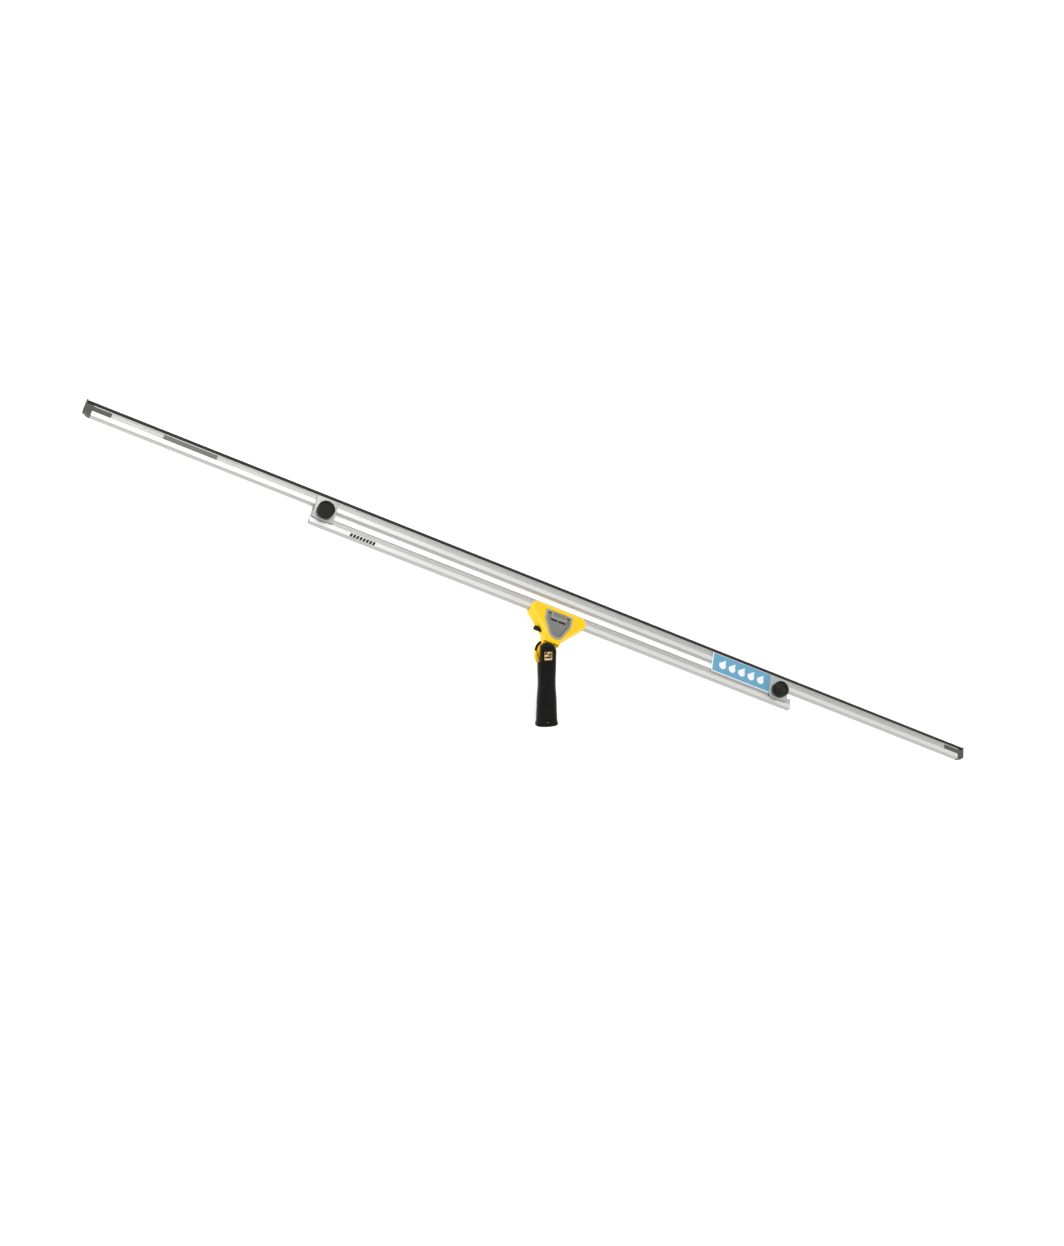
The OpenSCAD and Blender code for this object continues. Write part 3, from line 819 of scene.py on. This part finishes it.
def make_clamp(side):
    """Clamp: a front plate that bridges the two tracks, a back plate, a bolt, a washer and a knob."""
    at = clamp_frame(side)
    half = PLATE_HALF
    y0, y1 = PLATE_Y
    plate = slab(rect(-half, half, y0, y1, 3.0), FRONT + 0.2, FRONT + 2.4, 0.2, 0.9)
    ribs = [slab(rect(-half + 3, half - 3, y, y + PLATE_RIB, 0.5), FRONT - 0.35, FRONT + 0.6, 0.2, 0.01)
            for y in (y0, y1 - PLATE_RIB)]
    hole = tool(rod(3.2, -2, 12), at)
    dish = tool(lathe([(8.4, FRONT + 2.15), (8.7, 12)], 64), at)
    piece("front_plate_" + side, plate, at, PLATE_METAL, "support", "clamp_plate_" + side,
          [hole, dish], [tool(rib, at) for rib in ribs])
    back = slab(rect(-half, half, -BACK_HALF, BACK_HALF, 3.0), PLATE_BACK, -FRONT - 0.2, 0.6, 0.3)
    bx, by = BOSS_HALF
    boss = tool(slab(rect(-bx, bx, -by, by, 0.8), -FRONT - 0.6, FRONT - 0.2, 0.01, 0.4), at)
    recess = tool(flat(hexagon(FLATS + 0.3), PLATE_BACK - 1, -4.7), at)
    bore = tool(rod(3.1, -20, 20), at)
    piece("rear_plate_" + side, back, at, PLATE_METAL, "support", "back_plate_" + side,
          [recess, bore], [boss])
    make_bolt(side, at)
    washer = [(3.15, 0.1), (3.3, 0), (7.3, 0), (7.5, 0.2), (7.5, 1.0), (7.3, 1.2), (3.3, 1.2), (3.15, 1.1)]
    piece("washer_" + side, lathe_ring(washer, 64), at @ Matrix.Translation((0, 0, WASHER_Z)), NYLON,
          "washer_" + side, "knob_washer_" + side)
    make_knob(side, at)


def make_bolt(side, at):
    """Hexagon bolt, its head chamfered and its thread cut as rolled rings up the shank."""
    low = PLATE_BACK + 0.1
    levels = ((0.93, low), (1, low + 0.4), (1, low + 3.7), (0.96, low + 4))
    head = skin([[(x * s, y * s, z) for x, y in hexagon(FLATS)] for s, z in levels])
    profile = [(BOLT_R, -5.0), (BOLT_R, THREAD_FROM)]
    z = THREAD_FROM
    while z < BOLT_TOP - 1.4:
        profile += [(THREAD_ROOT, z + 0.45), (BOLT_R, z + 0.9)]
        z += THREAD_PITCH
    profile += [(2.4, BOLT_TOP)]
    shape = joined(head, lathe(profile, 32))
    piece("bolt_" + side, shape, at, STEEL, "support", "clamp_bolt_" + side)


def make_knob(side, at):
    """Thumb knob: fluted rim, turned face with fine rings, small dimple in the middle."""
    x0, x1 = along_bars("knob_" + side)
    r = (x1 - x0) / 2
    h = KNOB_H

    def ripple(a, d, z):
        if d < r - 1.6:
            return d
        wave = 0.5 - 0.5 * math.cos(FLUTES * a)
        fade = min(1, max(0, (z - 0.8) / 0.8)) * min(1, max(0, (h - 0.7 - z) / 0.8))
        return d - 0.75 * fade * (1 - wave) ** 1.5

    profile = [(4.5, 0.02), (r - 1.6, 0.02), (r - 0.9, 0.25), (r - 0.25, 0.8), (r, 1.4), (r, 2.4)]
    profile += [(r, h * 0.5), (r, h - 2.3), (r - 0.02, h - 1.6), (r - 0.3, h - 1.0), (r - 0.9, h - 0.35)]
    profile += [(r - 1.6, h - 0.06), (r - 2.2, h), (r - 2.8, h - 0.15), (r - 3.2, h - 0.6)]
    rings = 6
    width = (r - 3.4 - 1.6) / rings
    for i in range(rings):
        d = r - 3.4 - i * width
        profile += [(d, h - 0.95), (d - width * 0.5, h - 0.68), (d - width * 0.96, h - 0.95)]
    profile += [(1.4, h - 1.1), (0.9, h - 1.35), (0.02, h - 1.4)]
    place = at @ Matrix.Translation((0, 0, KNOB_Z))
    seat = tool(rod(4.5, -1, h - 2.4), place)
    piece("thumb_knob_" + side, lathe(profile, FLUTES * 8, ripple), place, KNOB_PLASTIC,
          "knob_%s_body" % side, "knob_" + side, [seat])
    top = h - 2.55
    insert = [(3.05, 0.3), (3.3, 0.05), (4.2, 0.05), (INSERT_R, 0.3), (INSERT_R, top - 0.25), (4.2, top),
              (3.05, top)]
    piece("insert_" + side, lathe_ring(insert, 48), place, BRASS, "knob_%s_body" % side,
          "knob_insert_" + side)


# ---------------------------------------------------------------- plate and mark

SIGN_Y = (-38.5, -8.0)
SIGN_TOP = 5.85
MARK_Y = (-49.3, -43.9)


def make_name_plate():
    """Blue sign plate with a white edge line and a row of plain white drops."""
    x0, x1 = along_bars("name_plate")
    y0, y1 = SIGN_Y
    z1 = SIGN_TOP
    plate = slab(rect(x0, x1, y0, y1, 0.9), z1 - 1.6, z1 - 0.12, 0.15, 0.15)
    rib = slab(rect(x0 + 1, x1 - 1, y0, y0 + 2.4, 0.2), FRONT - 0.6, z1 - 1.4, 0.1, 0.01)
    piece("sign_base", joined(plate, rib), TOOL, SIGN_WHITE, "support", "name_plate")
    face = slab(rect(x0 + 1.3, x1 - 0.5, y0 + 1.2, y1 - 0.5, 0.5), z1 - 0.14, z1 - 0.04, 0.0, 0.02)
    piece("sign_face", face, TOOL, SIGN_BLUE, "support")
    count = 5
    margin = 9
    pitch = (x1 - x0 - 2 * margin) / count
    drops = [drop(x0 + margin + pitch * (i + 0.5), (y0 + y1) / 2 - 1.0, 5.6, z1 - 0.05, z1)
             for i in range(count)]
    piece("sign_drops", joined(*drops), TOOL, SIGN_WHITE, "support")


def drop(cx, cy, r, z0, z1):
    """Water drop leaning to the right: a circle drawn out to a point."""
    return flat([(cx + r * 0.9, cy + r * 1.75)] + arc((cx, cy), r, 150, 390, 24), z0, z1)


def make_bar_mark():
    """Row of slanted bars printed on the support bar."""
    x0, x1 = along_bars("bar_mark")
    y0, y1 = MARK_Y
    count = 8
    foot = 3.4
    lean = 1.6
    pitch = (x1 - x0 - foot - lean) / (count - 1)
    shapes = []
    for i in range(count):
        x = x0 + i * pitch
        plan = filleted([(x, y0, 0.3), (x + foot, y0, 0.3),
                         (x + foot + lean, y1, 0.3), (x + lean, y1, 0.3)], 3)
        shapes.append(flat(plan, FRONT + 0.005, FRONT + 0.1))
    piece("mark_bars", joined(*shapes), TOOL, PRINT_BLACK, "support", "bar_mark")


# ---------------------------------------------------------------- head

HEAD_BACK, HEAD_FRONT = -8.0, 9.0
HEAD_TOP = -38.5
HEAD_END = -93.5
NECK_RIGHT, NECK_LEFT = 13.0, -11.0
PIN = (-74.0, -2.0)
SHIELD_TOP = -44.5
POCKET_Z = 6.4
RIM_W = 3.2
DISC_R = 12.0
DISC_Z = (-6.0, 3.0)
BLOCK_HALF = 11.5
BLOCK_Y = (SHIELD_TOP - 12, SHIELD_TOP - 1.8)
BLOCK_TOP = POCKET_Z + 4.2
DISH_HALF = 10.0
DISH_Y = (SHIELD_TOP - 9.8, SHIELD_TOP - 3.2)
CLEAR = 20.0
JAW_COIL = 8.9
AT_PIN = Matrix.Translation((0, *PIN)) @ ALONG_X


def head_plan():
    """Outline of the head, its neck standing off to the left."""
    right, left = NECK_X - HEAD_X + NECK_RIGHT, NECK_X - HEAD_X + NECK_LEFT
    return filleted([(37.7, HEAD_TOP, 4), (44.1, -48.75, 6.5), (right, -87.4, 4), (right, HEAD_END, 2.2),
                     (left, HEAD_END, 2.2), (left, -80.2, 4), (-44.1, -48.75, 6.5), (-37.7, HEAD_TOP, 4)])


def shield_plan(d=0.0):
    """Outline of the shield-shaped latch, moved inwards by d."""
    corner = max(2 - d, 0.8)
    shift = corner - (2 - d)
    circles = [(0, -30, 11.8 - d)]
    for s in (-1, 1):
        circles += [(s * (18.5 - shift), -2 - shift, corner), (s * 11.5, -14.5, 8.5 - d)]
    return [(x, y + SHIELD_TOP) for x, y in hull_of(circles)]


def make_head():
    """Moulded head: slot for the bar, bay for the jaw, pocket for the latch, round end for the grip."""
    solid = slab(head_plan(), HEAD_BACK, HEAD_FRONT, 0.9, 1.5)
    wide = 15.5
    tail = 9.5
    bay_low = -70.0
    wall_z = 4.6
    cutters = [
        box((-60, 60), (-50.7, 0), (-FRONT - 0.2, FRONT + 0.3)),
        box((-wide, wide), (bay_low, 0), (HEAD_BACK - 1, -FRONT - 0.19)),
        box((-wide, wide), (bay_low, -56), (HEAD_BACK - 1, wall_z)),
        box((-tail, tail), (-84.8, bay_low + 0.01), (HEAD_BACK - 1, wall_z)),
        box((-3, 3), (-80, -71), (wall_z - 0.01, POCKET_Z + 0.01)),
        flat(shield_plan(-0.1), POCKET_Z, 12),
        turned(rod(3.6, -40, -17.5), AT_PIN),
        turned(rod(2.02, -40, 17.5), AT_PIN),
    ]
    room = [rod(14.0, 3.0, 23, 72), rod(16.6, -6.01, 3.01, 72), rod(15.0, -26, -6.0, 72)]
    cutters = [tool(c, HEAD) for c in cutters] + [tool(c, NECK) for c in room]

    # The pocket floor under the latch gets the black knob plastic: painted shade.
    def painted_shade_pocket(p):
        return abs(p.z - POCKET_Z) < 0.1

    # The front edge's bevel gets a paler yellow: a painted highlight.
    def painted_highlight_bevel(p):
        return HEAD_FRONT - 1.0 < p.z < HEAD_FRONT - 0.02 and p.y > -84

    obj = piece("head_casting", solid, HEAD, YELLOW, "head", "head_body", cutters,
                areas=[(KNOB_PLASTIC, painted_shade_pocket), (HIGHLIGHT_YELLOW, painted_highlight_bevel)])
    join_solids(obj, tool(flat(disc_outline(), *DISC_Z), NECK), tool(neck_block(), NECK))
    cut(obj, tool(rod(3.05, -7, 4), NECK))
    smooth_by_angle(obj)


def disc_outline():
    """Index disc, with round notches down its left flank for the trigger's nose."""
    steps = 360
    notch_r = 0.8
    out = []
    for k in range(steps):
        a = math.radians(360 * k / steps)
        d = DISC_R
        for i in range(-5, 6):
            off = a - math.radians(184 + 8 * i) % (2 * math.pi)
            side = DISC_R * math.sin(off)
            if math.cos(off) > 0 and abs(side) < notch_r:
                d = min(d, DISC_R - math.sqrt(notch_r ** 2 - side ** 2))
        out.append((d * math.cos(a), d * math.sin(a)))
    return out


def neck_block():
    """Solid that joins the index disc to the head."""
    right, left = NECK_RIGHT - 0.1, NECK_LEFT + 0.1
    plan = filleted([(-9, 7.8, 0), (9, 7.8, 0), (right, 11, 1), (right, 16.9, 0.3),
                     (left, 16.9, 0.3), (left, 9.2, 0.5)])
    return flat(plan, DISC_Z[0] + 0.01, DISC_Z[1] - 0.01)


def make_jaw():
    """Jaw behind the bar: plate with three ribs, a tail for the spring, two ears and a crank on the pin."""
    back, face = HEAD_BACK, -FRONT - 0.4
    wide, tail = 15.0, 9.0
    plan = filleted([(-wide, -68.6, 1), (-tail, -68.6, 1), (-tail, -83.4, 1.5), (tail, -83.4, 1.5),
                     (tail, -68.6, 1), (wide, -68.6, 1), (wide, -39.5, 1.5), (-wide, -39.5, 1.5)], 4)
    plate = slab(plan, back, face, 0.7, 0.2)
    ears = [turned(rod(3.3, x, x + 3), AT_PIN) for x in (-8.5, 5.5)]
    webs = [box((x, x + 3), (PIN[0] - 3.3, PIN[0] + 3.3), (face - 1, PIN[1])) for x in (-8.5, 5.5)]
    sections = ((face - 1, 3.2), (PIN[1], 3.25), (4.4, 1.25), (5.2, 0.9), (5.6, 0.3))
    corners = ((-2, -1), (2, -1), (2, 1), (-2, 1))
    arm = skin([[(x, PIN[0] + s * w, z) for x, s in corners] for z, w in sections])
    lip = box((-14, 14), (HEAD_TOP - 2.5, HEAD_TOP - 1), (face - 0.2, face + 0.15))
    hollows = [slab(rect(x, x + 7.4, -66, -43, 1.2), back - 2, back + 0.5, 0, 0.3) for x in (-8.2, 0.8)]
    bore = turned(rod(2.05, -20, 20), AT_PIN)
    piece("rear_jaw", plate, HEAD, YELLOW, "jaw", "back_jaw",
          [tool(c, HEAD) for c in (bore, *hollows)], [tool(s, HEAD) for s in (*ears, *webs, arm, lip)])


def make_latch():
    """Grey shield: a fixed rim, and inside it the thumb slide with its block over a finger slot."""
    rim_z = POCKET_Z + 0.05
    # The rim gets a lighter grey than the pad: a painted highlight of its lit bevel.
    ring = slab(shield_plan(), rim_z, rim_z + 3.2, 0.1, 0.6)
    hole = tool(flat(shield_plan(RIM_W), 0, CLEAR), HEAD)
    relief = tool(box((-12.2, 12.2), (SHIELD_TOP - 4, SHIELD_TOP + 0.4), (rim_z + 1.9, CLEAR)), HEAD)
    piece("latch_rim", ring, HEAD, LATCH_HIGHLIGHT_GREY, "head", "latch_bezel", [hole, relief])
    pad = slab(shield_plan(RIM_W + 0.6), POCKET_Z + 0.2, POCKET_Z + 2.2, 0.1, 0.3)
    slot = box((-BLOCK_HALF, BLOCK_HALF), (SHIELD_TOP - 15, SHIELD_TOP - 12.2), (0, CLEAR))
    travel = box((-30, 30), (SHIELD_TOP - 5.15, 0), (0, CLEAR))
    finger = tool(box((-2, 2), (PIN[0] - 4.6, PIN[0] - 1.8), (4.1, POCKET_Z + 0.4)), HEAD)
    piece("latch_pad", pad, HEAD, LATCH_DARK, "latch", "latch_slide",
          [tool(c, HEAD) for c in (slot, travel)], [finger])
    # The block gets the same lighter grey: a painted highlight of its lit ridge.
    block = slab(rect(-BLOCK_HALF, BLOCK_HALF, *BLOCK_Y, 0.9), POCKET_Z + 2.15, BLOCK_TOP, 0.0, 0.6)
    dish = slab(rect(-DISH_HALF, DISH_HALF, *DISH_Y, 1.2), BLOCK_TOP - 0.9, CLEAR, 0.3, 0)

    # The dish in the block gets the pad's darker grey: painted shade.
    def painted_shade_dish(p):
        within = DISH_Y[0] - 0.1 < p.y < DISH_Y[1] + 0.1 and abs(p.x) < DISH_HALF + 0.1
        return within and p.z < BLOCK_TOP - 0.75

    piece("latch_block", block, HEAD, LATCH_HIGHLIGHT_GREY, "latch",
          cutters=[tool(dish, HEAD)], areas=[(LATCH_DARK, painted_shade_dish)])


def make_head_fasteners():
    """Pin of the jaw with its cap, and the springs of the jaw and the latch."""
    pin = turned(lathe([(1.7, -28), (2, -27.7), (2, 16.7), (1.7, 17)], 32), AT_PIN)
    piece("pin_jaw", pin, HEAD, STEEL, "head", "jaw_pin")
    cap = [(0.05, -29.95), (1.2, -29.9), (2.1, -29.6), (2.8, -29.4), (3.3, -28.8), (3.4, -28),
           (3.4, -17.8), (3.2, -17.6)]
    bore = tool(turned(rod(2.02, -28.2, 0), AT_PIN), HEAD)
    piece("pin_cap", turned(lathe(cap, 48), AT_PIN), HEAD, KNOB_PLASTIC, "head", "jaw_pin_cap",
          [bore])
    at_jaw = HEAD @ Matrix.Translation((0, PIN[0] - 6.2, -FRONT - 0.35))
    coil = piece("spring_jaw", tube_coil(2.3, 0.35, 5, JAW_COIL), at_jaw, STEEL, "head",
                 "jaw_spring")
    shorten(coil)
    at_latch = HEAD @ Matrix.Translation((0, SHIELD_TOP - 12.1, POCKET_Z + 1.1)) @ ALONG_MINUS_Y
    coil = piece("spring_latch", tube_coil(0.7, 0.18, 7, 2.8, 8, 16), at_latch, BRASS, "head",
                 "latch_spring")
    shorten(coil)


# ---------------------------------------------------------------- grip

GRIP_LEN = 104.0
GRIP_MID = 3.0
HALF_T = 11.0
HOOD_R = 13.3
HOOD_FLAT = 8.0
HEEL_HALF = 14.7
SECTION_POWER = 2.4
SOCKET_R = 9.5
SOCKET_DEEP = 70.0
FOOT = (16.0, 12.0)
STICKER_Z = 12.8
TRIGGER_PIN = (-11.3, -9.5)
TRIGGER_SPRING = (-11.35, -13.6, -1.6)
TRIGGER_COIL = 4.8


def grip_ring(y, half_w, back, top, power, n=80):
    """Rounded section of the grip at height y: half width, back and front levels."""
    mid, half_t = (back + top) / 2, (top - back) / 2
    out = []
    for k in range(n):
        a = 2 * math.pi * k / n
        c, s = math.cos(a), math.sin(a)
        x = half_w * math.copysign(abs(c) ** (2 / power), c)
        z = mid + half_t * math.copysign(abs(s) ** (2 / power), s)
        out.append((x, y, z))
    return out


def waist(y):
    """Half width of the handle at height y, through its waist and its swell."""
    stations = ((0, 13.2), (-15, 13.0), (-44, 12.3), (-74, 14.0), (-94, HEEL_HALF))
    for (ya, wa), (yb, wb) in zip(stations, stations[1:]):
        if y >= yb:
            return wa + (wb - wa) * eased((ya - y) / (ya - yb))
    return stations[-1][1]


def grip_shape():
    """Domed hood, waist, slow swell to the foot and a flared lip, skinned from many sections."""
    rings = []
    back, top = GRIP_MID - HALF_T, GRIP_MID + HALF_T
    dome = 13.0
    shoulder = 8.0
    hood_low = -17
    for deg in range(84, 0, -7):
        y = HOOD_R * math.sin(math.radians(deg))
        w = HOOD_R * math.cos(math.radians(deg))
        over = max(0, y - HOOD_FLAT) / (HOOD_R - HOOD_FLAT)
        rings.append(grip_ring(y, w, back, dome - (dome - shoulder) * over ** 1.3, 3.0))
    for y in (0, -2.5, -5, -8, -11, -14, hood_low):
        rise = min(1, max(0, (-y - 8) / 7))
        rings.append(grip_ring(y, waist(y), back, dome + rise, 3.0 - 0.6 * eased(y / hood_low)))
    flare_top = 10 - GRIP_LEN
    flare = 7.5
    steps = 30
    for i in range(1, steps):
        y = hood_low + i / steps * (flare_top - hood_low)
        rings.append(grip_ring(y, waist(y), back, top, SECTION_POWER))
    for i in range(9):
        t = i / 8
        grow = t ** 1.8
        half_w = HEEL_HALF + (FOOT[0] - HEEL_HALF) * grow
        spread = (FOOT[1] - HALF_T) * grow
        rings.append(grip_ring(flare_top - t * flare, half_w, back - spread, top + spread, SECTION_POWER))
    low, high = GRIP_MID - FOOT[1], GRIP_MID + FOOT[1]
    for up, ease in ((1.0, 0), (0.3, 0.25), (0, 0.8)):
        rings.append(grip_ring(up - GRIP_LEN, FOOT[0] - ease, low + ease, high - ease, SECTION_POWER))
    return skin(rings)


def make_grip():
    """Grip with its rooms for the disc, the lever, the pole and the pins, and its sticker."""
    cheek = tool(slab(arc((0, 0), 14.5, 0, 355, 71), -8.6, -6.2, 0.5, 0.2), GRIP)
    socket = [(10.0, -1), (10.0, 0.01), (SOCKET_R, 0.6), (SOCKET_R, SOCKET_DEEP)]
    up_the_socket = Matrix.Translation((0, -GRIP_LEN, GRIP_MID)) @ Matrix.Rotation(math.radians(-90), 4, "X")
    cutters = [
        box((-25, -9.8), (-14.5, 25), (1.5, 30)),
        box((-26, -8.4), (-17, 2), (-5.9, 2.7)),
        rod(12.4, -6.2, 3.5, 72),
        box((-30, 30), (0, 30), (-6.2, 3.5)),
        rod(3.02, -9.6, 10.7),
        turned(lathe(socket, 72), up_the_socket),
        rod(2.75, -20, 30, 48, (0, 8.5 - GRIP_LEN)),
        turned(rod(2.0, 2, 4.85, 32), Matrix.Translation(TRIGGER_SPRING) @ ALONG_X),
        rod(1.27, -8.2, 2.8, 32, TRIGGER_PIN),
        slab(rect(-5.8, 5.8, -9.8, 2.8, 0.8), STICKER_Z, 30, 0, 0),
    ]
    piece("grip_moulding", grip_shape(), GRIP, GRIP_BLACK, "grip_body", "grip",
          [tool(c, GRIP) for c in cutters], [cheek])
    badge = slab(rect(-5.5, 5.5, -9.5, 2.5, 0.7), STICKER_Z + 0.02, STICKER_Z + 0.36, 0, 0.12)
    piece("badge", badge, GRIP, GOLD_FOIL, "grip_body", "grip_sticker")
    make_badge_print(STICKER_Z + 0.36)


def make_badge_print(z):
    """Plain dark and pale blocks on the sticker, standing for no writing."""
    dark = [(-4.8, -1.6, -0.9, 1.4), (0.4, 4.6, -2.6, -0.6), (-3.9, 4.2, -6.2, -4.4)]
    pale = [(-4.9, -1.2, -4.0, -2.0), (-4.8, 1.4, -8.9, -7.2), (2.2, 4.8, -8.6, -6.9), (-0.8, 1.6, 0.2, 1.8)]
    for name, spans, material in (("badge_dark", dark, PRINT_BLACK), ("badge_pale", pale, PALE_PRINT)):
        blocks = [slab(rect(*span, 0.4), z - 0.02, z + 0.03, 0, 0) for span in spans]
        piece(name, joined(*blocks), GRIP, material, "grip_body")


def make_trigger():
    """Rocking lever with a thumb pad and a nose for the disc's notches, its pin and its spring."""
    plan = filleted([(-13.2, 0.4, 0.3), (-14.6, 0.2, 0.6), (-15.8, -3, 3), (-16, -6.5, 4), (-15.3, -11, 4),
                     (-13.6, -15.4, 1), (-11.4, -15.8, 0.6), (-9.6, -13, 1.5), (-9.4, -9.5, 2),
                     (-12.6, -4, 2), (-13.0, -2, 0.4)], 4)
    shape = slab(plan, -5.6, 2.4, 0.2, 0.2)
    bore = tool(rod(1.3, -20, 20, 32, TRIGGER_PIN), GRIP)
    at_spring = Matrix.Translation(TRIGGER_SPRING) @ ALONG_X
    seat = tool(turned(rod(1.8, -0.05, 5, 32), at_spring), GRIP)
    nose = tool(rod(0.35, -5.5, 2.3, 16, (-12.95, -1.2)), GRIP)
    piece("trigger_lever", shape, GRIP, YELLOW, "trigger_body", "trigger",
          [bore, seat], [nose])
    pin = lathe([(1.0, -8.1), (1.25, -7.9), (1.25, 2.8), (1.0, 3.0)], 32)
    piece("pin_trigger", turned(pin, Matrix.Translation((*TRIGGER_PIN, 0))), GRIP, STEEL, "grip_body",
          "trigger_pin")
    coil = piece("spring_trigger", tube_coil(1.4, 0.2, 5, TRIGGER_COIL, 8, 20), GRIP @ at_spring, STEEL,
                 "grip_body", "trigger_spring")
    shorten(coil)


def make_swivel():
    """Pin that the grip swings on, and its washer."""
    swivel = lathe([(2.6, -8.5), (3.0, -8.1), (3.0, 10.2), (2.6, 10.6)], 48)
    piece("pin_swivel", swivel, GRIP, STEEL, "grip_body", "swivel_pin")
    ring = lathe_ring([(3.1, 3.05), (8.0, 3.05), (8.0, 3.45), (3.1, 3.45)], 48)
    piece("washer_swivel", ring, GRIP, NYLON, "grip_body", "swivel_washer")


# ---------------------------------------------------------------- build

make_camera()
make_studio()
make_floor()

BAR_METAL = aluminium("anodised_bar", (0.74, 0.74, 0.72), 0.34)
# Darker copy of the bar metal for the track floor: painted shade.
TRACK_SHADE_METAL = aluminium("track_floor_painted_shade", (0.66, 0.66, 0.64), 0.42)
# Much darker copy of the bar metal for the ridge flanks and the chamber: painted shade.
RIDGE_SHADE_METAL = aluminium("track_ridge_painted_shade", (0.30, 0.30, 0.29), 0.42)
# Darker copy of the bar metal for the lower wall: painted shade.
WALL_SHADE_METAL = aluminium("lower_wall_painted_shade", (0.45, 0.45, 0.44), 0.48)
PLATE_METAL = aluminium("satin_plate", (0.50, 0.50, 0.49), 0.42, along_x=False)
RUBBER = rubber("blade_rubber")
CAP_PLASTIC = moulded("cap_plastic", (0.085, 0.085, 0.08), 0.45)
STRIP_PLASTIC = moulded("strip_plastic", (0.17, 0.17, 0.155), 0.5)
KNOB_PLASTIC = moulded("knob_plastic", (0.007, 0.007, 0.006), 0.22, depth=0.00002, shine=0.22)
NYLON = moulded("nylon", (0.75, 0.75, 0.70), 0.45)
STEEL = metal("zinc_steel", (0.62, 0.62, 0.63), 0.3)
BRASS = metal("brass", (0.80, 0.58, 0.24), 0.3)
SIGN_WHITE = moulded("sign_white", (0.86, 0.87, 0.87), 0.35, grain=1200, depth=0.00001, dirt=0.02)
SIGN_BLUE = moulded("sign_blue", (0.13, 0.36, 0.54), 0.35, grain=1200, depth=0.00001, dirt=0.03)
PRINT_BLACK = moulded("print_black", (0.006, 0.006, 0.006), 0.5, dirt=0.2)
YELLOW = moulded("head_yellow", (0.96, 0.58, 0.004), 0.4, dirt=0.02, shine=0.25)
# Paler yellow for the head's front bevel: a painted highlight.
HIGHLIGHT_YELLOW = moulded("head_edge_painted_highlight", (1.0, 0.72, 0.10), 0.3, dirt=0.02)
# Lighter grey of the latch rim and block: a painted highlight; the pad's own grey is the darker one.
LATCH_HIGHLIGHT_GREY = moulded("latch_grey_painted_highlight", (0.33, 0.325, 0.28), 0.42)
LATCH_DARK = moulded("latch_dark", (0.19, 0.195, 0.18), 0.5)
GRIP_BLACK = moulded("grip_black", (0.0055, 0.0055, 0.0038), 0.3, grain=1500, depth=0.00008, dirt=0.25,
                     shine=0.11)
GOLD_FOIL = printed_foil("gold_foil", (0.50, 0.31, 0.08))
PALE_PRINT = moulded("pale_print", (0.80, 0.70, 0.48), 0.4, dirt=0.1)

make_bar("main_channel", MAIN_TOP, "blade_carriage")
make_bar("support_bar", SUPPORT_TOP, "support")
make_rubber()
for cap_side, cap_sign in (("left", -1), ("right", 1)):
    make_end_cap(cap_side, cap_sign)
    make_clamp(cap_side)
make_track_strip()
make_name_plate()
make_bar_mark()
make_head()
make_jaw()
make_latch()
make_head_fasteners()
make_grip()
make_trigger()
make_swivel()
